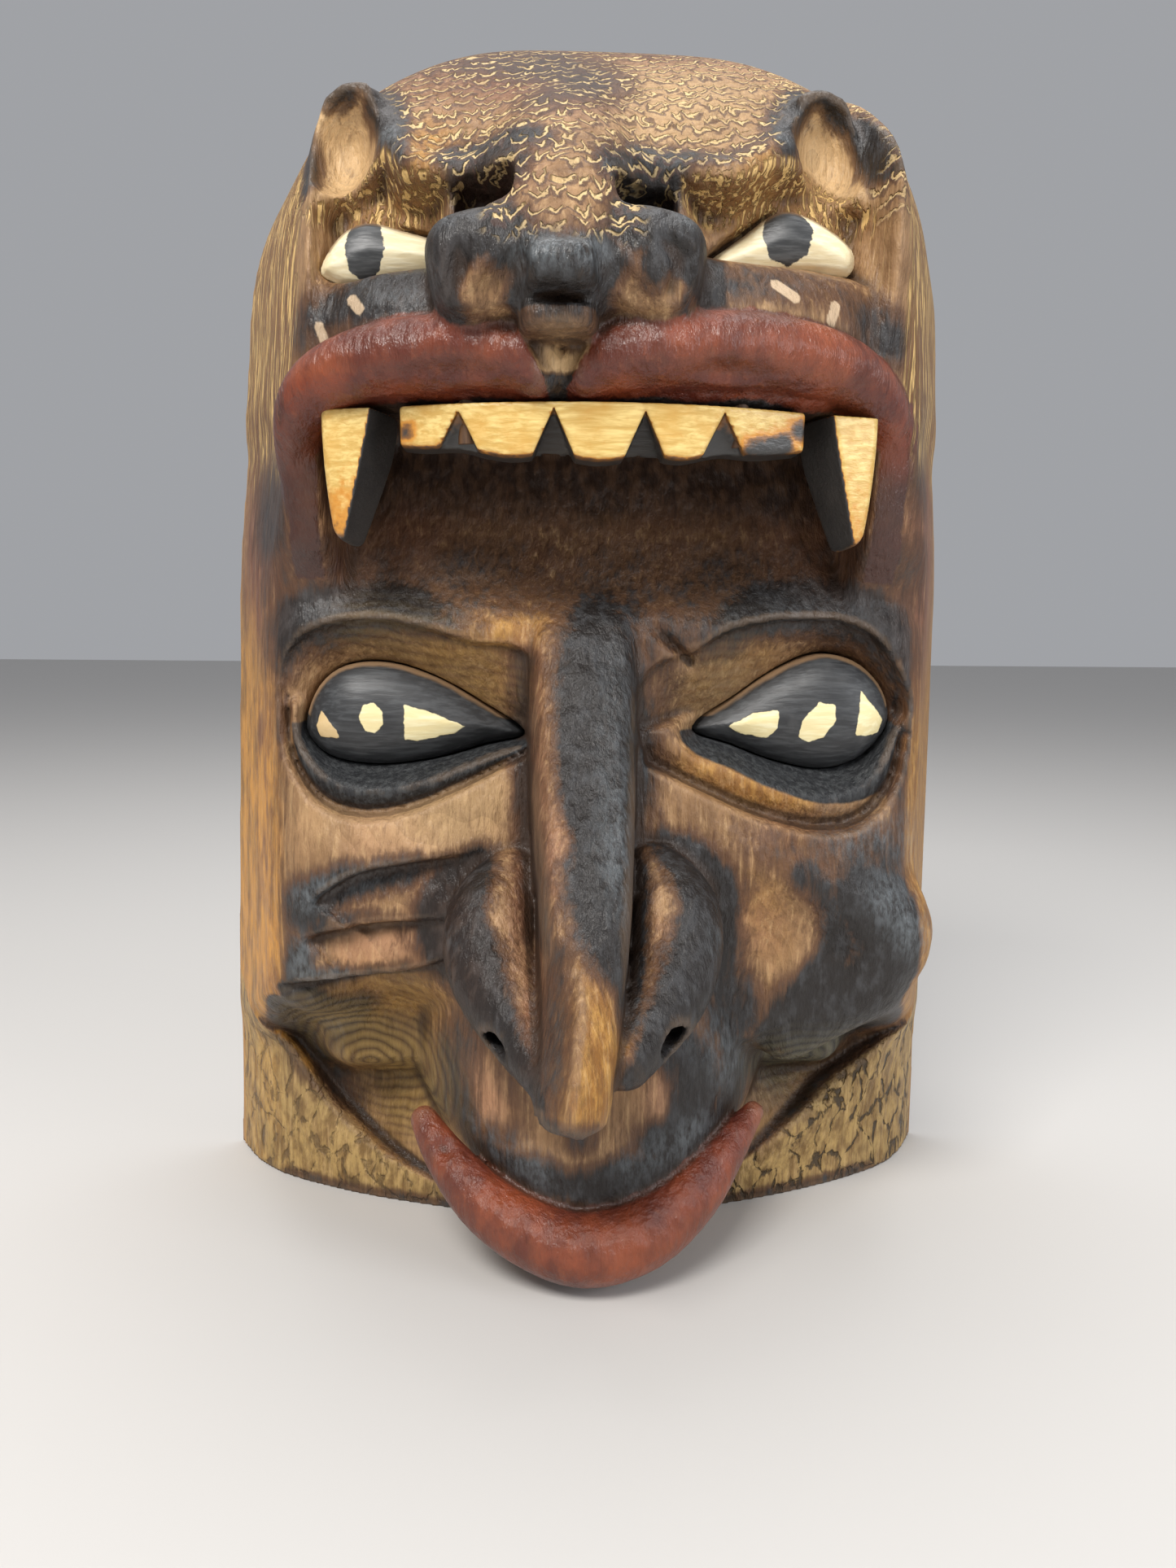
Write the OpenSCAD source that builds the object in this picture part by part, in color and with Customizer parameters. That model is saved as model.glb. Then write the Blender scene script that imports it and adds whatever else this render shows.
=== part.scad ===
// Carved wooden mask of a face that looks out from the open jaws of a big cat.
// Frame: +Z up, the face looks along -Y, +X is the viewer's right, origin at the middle of the bottom.
// Depth means millimetres forward of the flat back plane.

/* [Block] */
// Width at the foot
body_w = 160; // [150:1:170]
// Height from the foot to the crown
body_h = 230; // [225:1:240]
// Depth from the back plane to the tip of the nose
body_d = 95; // [92:1:100]
// Width near the top, under the crown
crown_w = 146; // [138:1:150]

/* [Hollow back] */
// Thickness of the closed foot under the hollow
foot_t = 20; // [16:1:26]
// Height where the hollow ends under the crown
hollow_top = 192; // [180:1:195]
// Width of the flat rim left around the hollow
rim_w = 17; // [14:1:20]
// Depth of the hollow behind the face
hollow_d = 30; // [20:1:32]

/* [Jaws] */
// Height of the underside of the upper jaw
jaw_z = 154; // [152:1:156]
// Depth of the mouth's back wall
mouth_d = 40; // [39:1:44]
// Half width of the open mouth
mouth_half = 52; // [50:1:54]

/* [Teeth] */
// Depth of the front of the tooth strip at the middle
teeth_d = 73; // [70:1:75]
// Thickness of the tooth strip
teeth_t = 8; // [6:0.5:10]
// Height of the tooth strip
teeth_h = 8.5; // [7:0.5:10]
// Width of the tooth strip
teeth_w = 66; // [60:1:68]
// Length of a fang
fang_l = 23; // [18:1:26]
// Diameter of the wooden pegs that hold the teeth
peg_dia = 3; // [2:0.5:4]

/* [Eyes] */
// Width of an eye of the face
eye_w = 40; // [36:1:42]
// Height of an eye of the face
eye_h = 19; // [17:1:21]
// Width of a big cat eye
cat_eye_w = 22; // [18:1:24]
// Height of a big cat eye
cat_eye_h = 10; // [8:1:11]

/* [Hanger] */
// Length of the sawtooth hanger plate
hanger_l = 44; // [38:1:46]
// Height of the sawtooth hanger plate
hanger_h = 9; // [8:0.5:10]
// Thickness of the hanger plate
hanger_t = 1; // [0.8:0.1:1.4]
// Diameter of the nails' shanks
nail_dia = 1.6; // [1.4:0.1:2]

/* [Hidden] */

back_y = body_d / 2;      // Y of the flat back plane
cut = 1;                  // how far a cutter runs past the face it opens
play = 0.3;               // gap around a piece set in its socket
jaw_step = 0.1;           // height over which the jaw's underside runs forward
levels = 56;              // rings from the foot to the crown
columns = 36;             // steps across the front of a ring
back_columns = 18;        // steps across the back of a ring
crown_z = body_h - 55;    // height where the sides begin to round in
crown_power = 2.4;
nose_x = -3;              // the nose and the cat's snout lean to the left
snout_x = -5;

wood = "peru";
black_paint = "#2c2f30";
cream_paint = "#e8dcae";
tooth_paint = "#dcb468";
steel = "silver";

// Depth of the uncarved front along the middle, as [height, depth]
skin = [[0, 36], [8, 42], [24, 50], [45, 54], [70, 55], [95, 53], [118, 52], [128, 48],
        [150, 66], [165, 71], [178, 68], [192, 62], [206, 51], [218, 37], [226, 24], [230, 14]];

// Nose ridge standing over the skin, as [height, rise]
nose = [[36, 0], [41, 30], [48, 41], [62, 36], [80, 27], [98, 17], [114, 9], [124, 0]];

function clamp01(t) = max(0, min(1, t));
function ramp(a, b, v) = let (t = clamp01((v - a) / (b - a))) t * t * (3 - 2 * t);
function window(a, b, c, d, v) = ramp(a, b, v) * (1 - ramp(c, d, v));
function dome(x, z, at, size) = exp(-pow((x - at[0]) / size[0], 2) - pow((z - at[1]) / size[1], 2));
function flat_bell(v, half) = exp(-pow(v / half, 4));
function along(table, z) = lookup(z * 230 / body_h, table);

function half_width(z) =
    let (straight = (body_w + (crown_w - body_w) * min(1, z / 190)) / 2,
         t = clamp01((z - crown_z) / (body_h + 1 - crown_z)))
    straight * pow(1 - pow(t, crown_power), 1 / crown_power);

// Cross-section: a flat diamond at the foot, a boxy half log at the face, a half round at the crown
function section_power(z) = 1.6 + 1.4 * ramp(0, 45, z) - 0.8 * ramp(150, 190, z);
function block_depth(x, z) =
    let (t = min(1, abs(x) / half_width(z)), n = section_power(z))
    along(skin, z) * pow(max(0, 1 - pow(t, n)), 1 / n);

function face_relief(x, z) =
    19 * window(2, 10, 26, 60, z) * exp(-pow(x / 24, 2))
    + along(nose, z) * flat_bell(x - nose_x, 9)
    + 17 * (dome(x, z, [-19, 66], [9, 13]) + dome(x, z, [14, 67], [9, 13]))
    + 4 * window(110, 116, 119, 126, z) * flat_bell(abs(x) - 32, 22)
    - 7 * (dome(x, z, [-33, 102], [22, 11]) + dome(x, z, [37, 103], [22, 11]))
    + 5 * dome(x, z, [-44, 58], [14, 12])
    + 8 * dome(x, z, [54, 55], [13, 13])
    - 7 * (dome(x, z, [-38, 32], [14, 12]) + dome(x, z, [40, 32], [14, 12]));

function cat_relief(x, z) =
    6 * window(jaw_z - 1, jaw_z + 2, 163, 172, z) * flat_bell(abs(x - snout_x) - 22, 22)
    + 13 * (dome(x, z, [-18, 172], [9, 9]) + dome(x, z, [8, 172], [9, 9]))
    + 10 * dome(x, z, [snout_x, 170], [8, 9])
    + 9 * window(172, 180, 186, 206, z) * exp(-pow((x - snout_x) / 12, 2))
    - 9 * (dome(x, z, [-37, 178], [12, 8]) + dome(x, z, [30, 181], [13, 8]))
    + 9 * (dome(x, z, [-42, 204], [8, 9]) + dome(x, z, [38, 205], [8, 9]));

function in_mouth(x, z) =
    (1 - ramp(mouth_half, mouth_half + 5, abs(x))) * window(120, 132, jaw_z, jaw_z + jaw_step, z);
function front_depth(x, z) =
    let (edge = ramp(0, 12, block_depth(x, z)),
         d = block_depth(x, z) + edge * (face_relief(x, z) + cat_relief(x, z)),
         m = in_mouth(x, z))
    min(body_d, d * (1 - m) + min(d, mouth_d) * m);

// The hollow: zero on the rim, hollow_d in the middle, shallower behind the open mouth
function hollow_depth(x, z) =
    let (side = ramp(0, 14, half_width(z) - rim_w - abs(x)),
         tall = window(foot_t, foot_t + 14, hollow_top - 20, hollow_top, z),
         shallow = 1 - 0.25 * window(110, 130, 155, 170, z))
    hollow_d * shallow * side * tall;

// Heights of the rings: a pair straddles the jaw's underside, and they crowd at the crown
function ring_z(i) = let (t = i / levels) body_h * (1 - pow(1 - t, 1.25));
heights = concat([for (i = [0 : levels]) if (abs(ring_z(i) - jaw_z) > 1.5) ring_z(i)],
                 [jaw_z, jaw_z + jaw_step]);
function sorted(v) =
    len(v) < 2 ? v : let (p = v[floor(len(v) / 2)])
    concat(sorted([for (a = v) if (a < p) a]), [p], sorted([for (a = v) if (a > p) a]));
ring_heights = sorted(heights);

function spread(t) = -cos(180 * t);
function front_point(z, j) =
    let (x = half_width(z) * (0.45 * spread(j / columns) + 0.55 * (2 * j / columns - 1)))
    [x, back_y - front_depth(x, z), z];
function back_point(z, j) =
    let (x = half_width(z) * (1 - 2 * j / back_columns))
    [x, back_y - hollow_depth(x, z), z];
function ring(z) = concat([for (j = [0 : columns]) front_point(z, j)],
                          [for (j = [1 : back_columns - 1]) back_point(z, j)]);

module carved_block() {
    n = columns + back_columns;
    m = len(ring_heights);
    points = [for (z = ring_heights) each ring(z)];
    walls = [for (i = [0 : m - 2], j = [0 : n - 1], half = [0, 1])
        let (a = i * n + j, b = i * n + (j + 1) % n)
        half == 0 ? [a, a + n, b] : [b, a + n, b + n]];
    foot = [for (j = [0 : n - 1]) j];
    crown = [for (j = [n - 1 : -1 : 0]) (m - 1) * n + j];
    polyhedron(points = points, faces = concat(walls, [foot, crown]));
}

// Turns a flat drawing in X and Z, extruded forward from depth d0 to depth d1
module forward(d0, d1) {
    translate([0, back_y - d0, 0]) rotate([90, 0, 0]) linear_extrude(d1 - d0) children();
}

// Almond with a round outer end at +X and a point at -X
function almond_point(w, h, a) =
    let (t = (1 - cos(a)) / 2) [w * (0.5 - t), h / 2 * sin(a) * (1 - 0.45 * t)];
module almond(w, h, grow = 0) {
    polygon([for (a = [0 : 12 : 348]) almond_point(w + 2 * grow, h + 2 * grow, a)]);
}

// A place for an eye: [x, z, tilt in degrees, 1 when its round end is to the right, else -1]
left_eye_at = [-33.5, 101.5, -7, -1];
right_eye_at = [37.5, 102.5, 6, 1];
cat_left_at = [-36.5, 178, 6, -1];
cat_right_at = [29, 180.5, 8, 1];
eye_floor = 32;
eye_crest = 47;
cat_floor = 47;
cat_crest = 58;

module eye_place(at) {
    translate([at[0], 0, at[1]]) rotate([0, -at[2], 0]) scale([at[3], 1, 1]) children();
}

module eye_piece(at, w, h, floor_d, crest_d, colour) {
    ball_r = w * 0.8;
    color(colour) intersection() {
        eye_place(at) forward(floor_d, crest_d) almond(w, h);
        translate([at[0], back_y - crest_d + ball_r, at[1]]) sphere(r = ball_r, $fn = 64);
    }
}

module eye_socket(at, w, h, floor_d) {
    hull() eye_place(at) forward(floor_d, body_d) almond(w, h, play);
}

// Teeth stand on an arc that bends back towards both ends
arch_r = 78;
fang_x = 40;
fang_top = [11, 15];
fang_tip = [4, 6];
peg_xs = [-22, 22];
peg_reach = 6;

module tooth_band() {
    translate([0, back_y - teeth_d + arch_r, 0]) intersection() {
        difference() {
            circle(r = arch_r, $fn = 180);
            circle(r = arch_r - teeth_t, $fn = 180);
        }
        translate([-teeth_w / 2, -arch_r - cut]) square([teeth_w, arch_r]);
    }
}

module notch(x) {
    half = 3;
    deep = 5;
    translate([x, back_y - teeth_d - cut, jaw_z - teeth_h - 0.1]) rotate([-90, 0, 0])
        linear_extrude(teeth_t + 20) polygon([[-half, 0.1], [half, 0.1], [0, -deep]]);
}

peg_at = concat([for (x = peg_xs) [x, peg_y(x)]], [for (x = [-fang_x, fang_x]) [x, fang_y()]]);

// A peg spans the joint between the jaw and a tooth; its hole is deeper by grow
module peg(at, grow = 0) {
    translate([at[0], at[1], jaw_z - peg_reach])
        cylinder(h = 2 * peg_reach + grow, d = peg_dia, $fn = 32);
}
module pegs() {
    for (at = peg_at) peg(at);
}
function peg_y(x) = back_y - teeth_d + arch_r - sqrt(pow(arch_r - teeth_t / 2, 2) - x * x);
function fang_y() = back_y - 57;

module mask_body() {
    color(wood) difference() {
        carved_block();
        eye_socket(left_eye_at, eye_w, eye_h, eye_floor);
        eye_socket(right_eye_at, eye_w, eye_h, eye_floor);
        eye_socket(cat_left_at, cat_eye_w, cat_eye_h, cat_floor);
        eye_socket(cat_right_at, cat_eye_w, cat_eye_h, cat_floor);
        for (at = peg_at) hull() peg(at, play);
        hanger_seat();
        nails();
    }
}

module tooth_strip() {
    color(tooth_paint) difference() {
        translate([0, 0, jaw_z - teeth_h]) linear_extrude(teeth_h) tooth_band();
        for (x = [-23, -8, 7, 20]) notch(x);
        pegs();
    }
}

module fang(side) {
    tip = [side * (fang_x + 1), fang_y(), jaw_z - fang_l];
    color(tooth_paint) difference() {
        hull() {
            translate([side * fang_x, fang_y(), jaw_z - 6]) translate([-fang_top[0] / 2, -fang_top[1] / 2, 0])
                cube([fang_top[0], fang_top[1], 6]);
            translate(tip - [fang_tip[0] / 2, fang_tip[1] / 2, 0]) cube([fang_tip[0], fang_tip[1], 2]);
        }
        pegs();
    }
}

module left_fang() { fang(-1); }
module right_fang() { fang(1); }
module tooth_pegs() { color("burlywood") pegs(); }

module left_eye() { eye_piece(left_eye_at, eye_w, eye_h, eye_floor, eye_crest, black_paint); }
module right_eye() { eye_piece(right_eye_at, eye_w, eye_h, eye_floor, eye_crest, black_paint); }
module cat_left_eye() { eye_piece(cat_left_at, cat_eye_w, cat_eye_h, cat_floor, cat_crest, cream_paint); }
module cat_right_eye() { eye_piece(cat_right_at, cat_eye_w, cat_eye_h, cat_floor, cat_crest, cream_paint); }

// The hanger lies in a shallow seat cut in the back, above the hollow
hanger_z = 206;
seat_depth = 2.2;
nail_x = hanger_l / 2 - 4;
nail_len = 12;
nail_head = [3.4, 0.9];
saw_teeth = 9;
saw_pitch = 3;

module hanger_seat() {
    forward(-cut, seat_depth) hull() {
        for (x = [-1, 1]) translate([x * (hanger_l - hanger_h) / 2, hanger_z]) circle(d = hanger_h + 3, $fn = 48);
    }
}

module saw_slot() {
    half = saw_teeth * saw_pitch / 2;
    polygon(concat(
        [[-half, -1.5], [half, -1.5]],
        [for (i = [0 : 2 * saw_teeth]) [half - i * saw_pitch / 2, 0.6 + 0.9 * (i % 2)]]));
}

module hanger_plate() {
    color(steel) difference() {
        forward(seat_depth - hanger_t, seat_depth) translate([0, hanger_z]) difference() {
            hull() {
                for (x = [-1, 1]) translate([x * (hanger_l - hanger_h) / 2, 0]) circle(d = hanger_h, $fn = 48);
            }
            saw_slot();
        }
        nails();
    }
}

module nails() {
    for (x = [-nail_x, nail_x]) translate([x, back_y - seat_depth + hanger_t, hanger_z])
        rotate([90, 0, 0]) cylinder(h = nail_len + hanger_t, d = nail_dia, $fn = 24);
}

module hanger_nails() {
    color(steel) {
        nails();
        for (x = [-nail_x, nail_x]) translate([x, back_y - seat_depth + hanger_t, hanger_z])
            rotate([-90, 0, 0]) cylinder(h = nail_head[1], d = nail_head[0], $fn = 32);
    }
}

mask_body();
tooth_strip();
left_fang();
right_fang();
tooth_pegs();
cat_left_eye();
cat_right_eye();
left_eye();
right_eye();
hanger_plate();
hanger_nails();
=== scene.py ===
"""Looks of the carved mask: a face that looks out from the open jaws of a big cat.

Everything carved is worked out in millimetres in the block's own frame: x to the viewer's right,
d forward of the flat back plane and z up from the foot. A signed distance field on a lattice holds
the carving, and OpenVDB turns it into a mesh.
"""

import math

import bpy
import numpy as np
import openvdb
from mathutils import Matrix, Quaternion, Vector


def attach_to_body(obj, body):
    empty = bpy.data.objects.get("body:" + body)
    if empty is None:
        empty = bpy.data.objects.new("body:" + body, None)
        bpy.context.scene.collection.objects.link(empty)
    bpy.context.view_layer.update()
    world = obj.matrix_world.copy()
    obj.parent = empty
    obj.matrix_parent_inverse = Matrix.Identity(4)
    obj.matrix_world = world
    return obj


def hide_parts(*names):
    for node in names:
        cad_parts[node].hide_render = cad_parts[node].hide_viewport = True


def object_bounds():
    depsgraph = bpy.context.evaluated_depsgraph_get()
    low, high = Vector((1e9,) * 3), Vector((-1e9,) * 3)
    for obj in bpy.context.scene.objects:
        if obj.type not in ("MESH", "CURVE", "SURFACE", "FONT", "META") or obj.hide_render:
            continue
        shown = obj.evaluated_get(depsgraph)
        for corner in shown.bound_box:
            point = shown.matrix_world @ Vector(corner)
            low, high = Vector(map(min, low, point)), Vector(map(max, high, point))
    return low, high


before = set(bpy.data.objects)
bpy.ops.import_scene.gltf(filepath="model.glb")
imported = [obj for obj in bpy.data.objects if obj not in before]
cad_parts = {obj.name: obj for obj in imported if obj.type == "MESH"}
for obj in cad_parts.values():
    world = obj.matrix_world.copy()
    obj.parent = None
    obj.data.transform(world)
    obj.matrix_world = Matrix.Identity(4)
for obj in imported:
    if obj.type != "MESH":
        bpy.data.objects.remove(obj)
cad_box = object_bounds()

MM = 0.001
BACK_Y = cad_box[1].y
HEIGHT = cad_box[1].z / MM
HALF_W = cad_box[1].x / MM
DEPTH = (cad_box[1].y - cad_box[0].y) / MM
STEP = 0.8      # lattice of the carved block
FINE = 0.4     # lattice of the inset pieces


# ---------------------------------------------------------------- camera, light, floor

CAMERA_AT = (-0.011, BACK_Y - 0.262, 0.1204)
CAMERA_PITCH, CAMERA_YAW, CAMERA_ROLL = 8.0, 2.6, 0.5
LENS_MM, SENSOR_MM = 27.015, 36.0


def add_camera():
    data = bpy.data.cameras.new("camera")
    data.lens = LENS_MM
    data.sensor_width = SENSOR_MM
    data.clip_start = 0.01
    cam = bpy.data.objects.new("camera", data)
    bpy.context.scene.collection.objects.link(cam)
    p, y = math.radians(CAMERA_PITCH), math.radians(CAMERA_YAW)
    ahead = Vector((math.sin(y) * math.cos(p), math.cos(y) * math.cos(p), -math.sin(p)))
    cam.rotation_mode = "QUATERNION"
    roll = Quaternion((0, 0, 1), math.radians(CAMERA_ROLL))
    cam.rotation_quaternion = ahead.to_track_quat("-Z", "Y") @ roll
    cam.location = CAMERA_AT
    bpy.context.scene.camera = cam


def add_light(name, at, towards, size, watts, colour=(1, 1, 1)):
    data = bpy.data.lights.new(name, "AREA")
    data.shape = "RECTANGLE"
    data.size, data.size_y = size
    data.energy = watts
    data.color = colour
    lamp = bpy.data.objects.new(name, data)
    lamp.location = at
    lamp.rotation_mode = "QUATERNION"
    lamp.rotation_quaternion = (Vector(towards) - Vector(at)).to_track_quat("-Z", "Y")
    bpy.context.scene.collection.objects.link(lamp)


def add_floor():
    mesh = bpy.data.meshes.new("floor")
    r = 3.0
    mesh.from_pydata([(-r, -r, 0), (r, -r, 0), (r, r, 0), (-r, r, 0)], [], [(0, 1, 2, 3)])
    floor = bpy.data.objects.new("floor", mesh)
    bpy.context.scene.collection.objects.link(floor)
    mat = bpy.data.materials.new("floor")
    mat.use_nodes = True
    shader = mat.node_tree.nodes["Principled BSDF"]
    shader.inputs["Base Color"].default_value = (0.60, 0.585, 0.565, 1)
    shader.inputs["Roughness"].default_value = 0.8
    mesh.materials.append(mat)


def light_scene():
    world = bpy.data.worlds.new("world")
    world.use_nodes = True
    world.node_tree.nodes["Background"].inputs[0].default_value = (0.93, 0.95, 1.0, 1)
    world.node_tree.nodes["Background"].inputs[1].default_value = 0.38
    bpy.context.scene.world = world
    bpy.context.scene.view_settings.view_transform = "Standard"
    middle = (0, 0, 0.12)
    add_light("key", (-0.25, -0.55, 0.75), middle, (0.42, 0.26), 8.2, (1, 0.97, 0.93))
    add_light("fill", (0.6, -0.45, 0.35), middle, (0.4, 0.4), 2.6, (0.95, 0.97, 1))
    add_light("top", (0.0, 0.15, 0.85), middle, (0.6, 0.4), 3.0)


# ---------------------------------------------------------------- curves and heights on the (x, z) plane

def ramp(a, b, v):
    t = np.clip((v - a) / (b - a), 0, 1)
    return t * t * (3 - 2 * t)


def table(z, rows):
    """Smooth interpolation through rows of (z, value, ...)."""
    rows = np.array(sorted(rows), float)
    i = np.clip(np.searchsorted(rows[:, 0], z) - 1, 0, len(rows) - 2)
    t = np.clip((z - rows[i, 0]) / (rows[i + 1, 0] - rows[i, 0]), 0, 1)
    slope = np.gradient(rows[:, 1], rows[:, 0])
    span = rows[i + 1, 0] - rows[i, 0]
    a, b = rows[i, 1], rows[i + 1, 1]
    h = t * t * (3 - 2 * t)
    bend = span * t * (1 - t) * ((1 - t) * slope[i] - t * slope[i + 1])
    return (a + (b - a) * h + bend).astype(np.float32)


def curve(points, closed=False, per=5):
    """Catmull-Rom curve through rows of any width."""
    p = np.array(points, float)
    n = len(p)
    spans = n if closed else n - 1
    out = []
    for i in range(spans):
        if closed:
            a, b, c, d = (p[(i + k) % n] for k in (-1, 0, 1, 2))
        else:
            a, b, c, d = (p[min(max(i + k, 0), n - 1)] for k in (-1, 0, 1, 2))
        for t in np.arange(per) / per:
            out.append(0.5 * ((2 * b) + (c - a) * t + (2 * a - 5 * b + 4 * c - d) * t ** 2
                              + (3 * b - a - 3 * c + d) * t ** 3))
    if not closed:
        out.append(p[-1])
    return np.array(out)


def nearest(line, X, Z, closed=False):
    """Distance to a polyline, its other columns at the nearest point, and +1 left or -1 right of it."""
    best = np.full(X.shape, 1e9, np.float32)
    values = [np.zeros(X.shape, np.float32) for _ in range(line.shape[1] - 2)]
    side = np.ones(X.shape, np.float32)
    last = len(line) if closed else len(line) - 1
    for i in range(last):
        a, b = line[i], line[(i + 1) % len(line)]
        ex, ez = b[0] - a[0], b[1] - a[1]
        t = np.clip(((X - a[0]) * ex + (Z - a[1]) * ez) / max(ex * ex + ez * ez, 1e-9), 0, 1)
        qx, qz = X - a[0] - t * ex, Z - a[1] - t * ez
        dist = np.hypot(qx, qz)
        near = dist < best
        best = np.where(near, dist, best)
        side = np.where(near, np.sign(ex * qz - ez * qx), side)
        for k in range(len(values)):
            values[k] = np.where(near, a[2 + k] + t * (b[2 + k] - a[2 + k]), values[k])
    return best, values, side


def stroke(points, X, Z, power=2.0):
    """A raised (or, with negative heights, cut) stroke through rows of (x, z, height, radius)."""
    dist, (height, radius), _ = nearest(curve(points), X, Z)
    return height * np.exp(-(dist / radius) ** power)


def cliff(points, X, Z, soft=0.7):
    """A step down on the right-hand side of a line through rows of (x, z, drop, reach)."""
    dist, (drop, reach), side = nearest(curve(points), X, Z)
    return -drop * ramp(soft, -soft, dist * side) * np.exp(-(dist / reach) ** 2)


def inside(points, X, Z):
    """Distance inside a closed outline, negative outside it."""
    line = np.array(points, float)
    dist, _, _ = nearest(line, X, Z, closed=True)
    odd = np.zeros(X.shape, bool)
    for a, b in zip(line, np.roll(line, -1, axis=0)):
        crosses = (a[1] > Z) != (b[1] > Z)
        with np.errstate(divide="ignore", invalid="ignore"):
            at = a[0] + (Z - a[1]) * (b[0] - a[0]) / (b[1] - a[1])
        odd ^= crosses & (X < at)
    return np.where(odd, dist, -dist)


# ---------------------------------------------------------------- the block

CROWN_Z = HEIGHT - 55
SIDE_SLOPE = 0.38


def lean(z):
    """The block's middle line leans to the right going up."""
    return -0.3 + 0.013 * z


def half_width(z):
    """Half width of the block at the back plane."""
    straight = HALF_W - 1 - 2.5 * np.clip(z / 120, 0, 1) - 4.5 * ramp(120, 185, z)
    t = np.clip((z - CROWN_Z) / (HEIGHT + 1 - CROWN_Z), 0, 1)
    return straight * (1 - t ** 2.4) ** (1 / 2.4)


def foot_depth(x):
    """Depth of the rough slab that the block stands on."""
    u = np.minimum(np.abs(x) / (HALF_W + 0.5), 1)
    return 38 * (1 - u ** 1.6) ** (1 / 1.6)


# Outlines of the eyes, in mm on the (x, z) plane
LEFT_EYE = [
    (-53.5, 101), (-52, 97), (-48, 94.3), (-40, 93.2), (-30, 94.4), (-20, 97.2), (-13, 99.2), (-20, 104),
    (-29, 109), (-38, 111.8), (-46, 111.3), (-51, 107.5),
]
RIGHT_EYE = [
    (18.5, 100.2), (26, 97.3), (34, 94.3), (43, 92.6), (50, 94.3), (54.5, 98.5), (56, 103), (54, 108.5),
    (49, 112.8), (42, 114), (34, 110.8), (26, 105.5),
]
LEFT_LID = [(-57, 103), (-56, 95), (-51, 87.3), (-43.5, 84.3), (-34, 85.6), (-22.6, 90.6), (-11, 97)]
RIGHT_LID = [(9, 94.5), (19.6, 89.2), (30.3, 84.6), (42, 81.9), (50.4, 83.6), (56.2, 90), (58.5, 99)]
LEFT_BROW = [
    (-57.5, 107), (-56, 113), (-51, 118), (-41, 120), (-31, 118.5), (-22, 116), (-13, 114.6), (-10, 106),
]
RIGHT_BROW = [
    (6, 106), (10, 112), (17, 114.5), (24, 118.5), (34, 120.5), (45, 120.3), (53, 116), (58.5, 107),
]
CAT_LEFT_EYE = [
    (-47, 178.6), (-44, 183.6), (-39.4, 186), (-33.9, 185), (-27, 182.8), (-27, 178.2), (-35.3, 176.6),
    (-41.4, 175.6), (-45.5, 177),
]
CAT_RIGHT_EYE = [
    (17.5, 179.8), (24, 185.2), (30.2, 189.3), (36.2, 188), (42.6, 183.6), (42, 179.4), (34.6, 179.8),
    (26.3, 179),
]

# The pale wedge under the cat's nose, and how much deeper than tall its lips are
WEDGE_X, WEDGE_Z, CAT_LIP_FLAT = -7.7, 153, 1.15

# Ropes of wood: rows of x, d, z and radius
LIPS = [
    (-31.5, 52, 27.5, 2.6), (-27.5, 56, 22.5, 3.8), (-20.5, 60.5, 16, 5.2), (-12, 63.5, 11.2, 6.0),
    (-2, 65, 8.6, 6.6), (8.5, 63.5, 10.6, 6.5), (17.5, 60, 16, 5.5), (24, 56, 22, 4.0),
    (30.5, 51, 28, 2.0),
]
LIP_LINE = [
    (-30, 57, 30.2, 0.8), (-21, 64.5, 21.5, 0.9), (-11, 69, 17.0, 1.0), (-2, 70.5, 15.6, 1.0),
    (8, 69, 17.6, 1.0), (18, 64.5, 22.6, 0.9), (28, 57, 30.8, 0.8),
]
CAT_LIP_LEFT = [
    (-52.5, 48, 147, 3.2), (-51, 54, 153, 4.4), (-46.5, 59, 158, 5.2), (-37, 64, 160.8, 5.8),
    (-24, 68, 161.6, 5.9), (-15, 70, 160.8, 5.4), (-11, 71, 158.8, 4.4),
]
CAT_LIP_RIGHT = [
    (-3.0, 71, 158.8, 4.4), (2, 71.5, 160.8, 5.4), (14, 70.5, 162.2, 5.9), (28, 67, 162.4, 5.9),
    (40, 61.5, 161, 5.4), (48, 55, 156.5, 4.6), (52, 48, 150, 3.4),
]
CORNER_LEFT = [(-51.5, 50, 152, 4.0), (-51.5, 48, 144, 3.8), (-50.5, 46, 136, 3.4), (-49, 43, 128, 2.2)]
CORNER_RIGHT = [(51.5, 50, 153, 4.0), (52, 48, 145, 3.8), (51.5, 46, 137, 3.4), (50.5, 43, 129, 2.2)]

FACE_DEPTH = [
    (-5, 50), (42, 52), (60, 54), (95, 53.5), (112, 52.5), (119, 50.5), (126, 45.5), (136, 40.5),
    (148, 38), (176, 36), (240, 10),
]
CHEEK_EDGE = [
    (-80, 41), (-66, 45), (-56, 48.5), (-45, 51), (-34, 53), (-20, 50), (20, 42), (35, 44), (50, 47),
    (66, 45), (80, 40),
]
CAT_DEPTH = [
    (140, 66), (155, 68), (164, 69.5), (172, 68), (182, 64.5), (192, 60.5), (202, 54), (211, 45.5),
    (219, 35.5), (225, 26), (229, 16), (231, 8),
]


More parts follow.
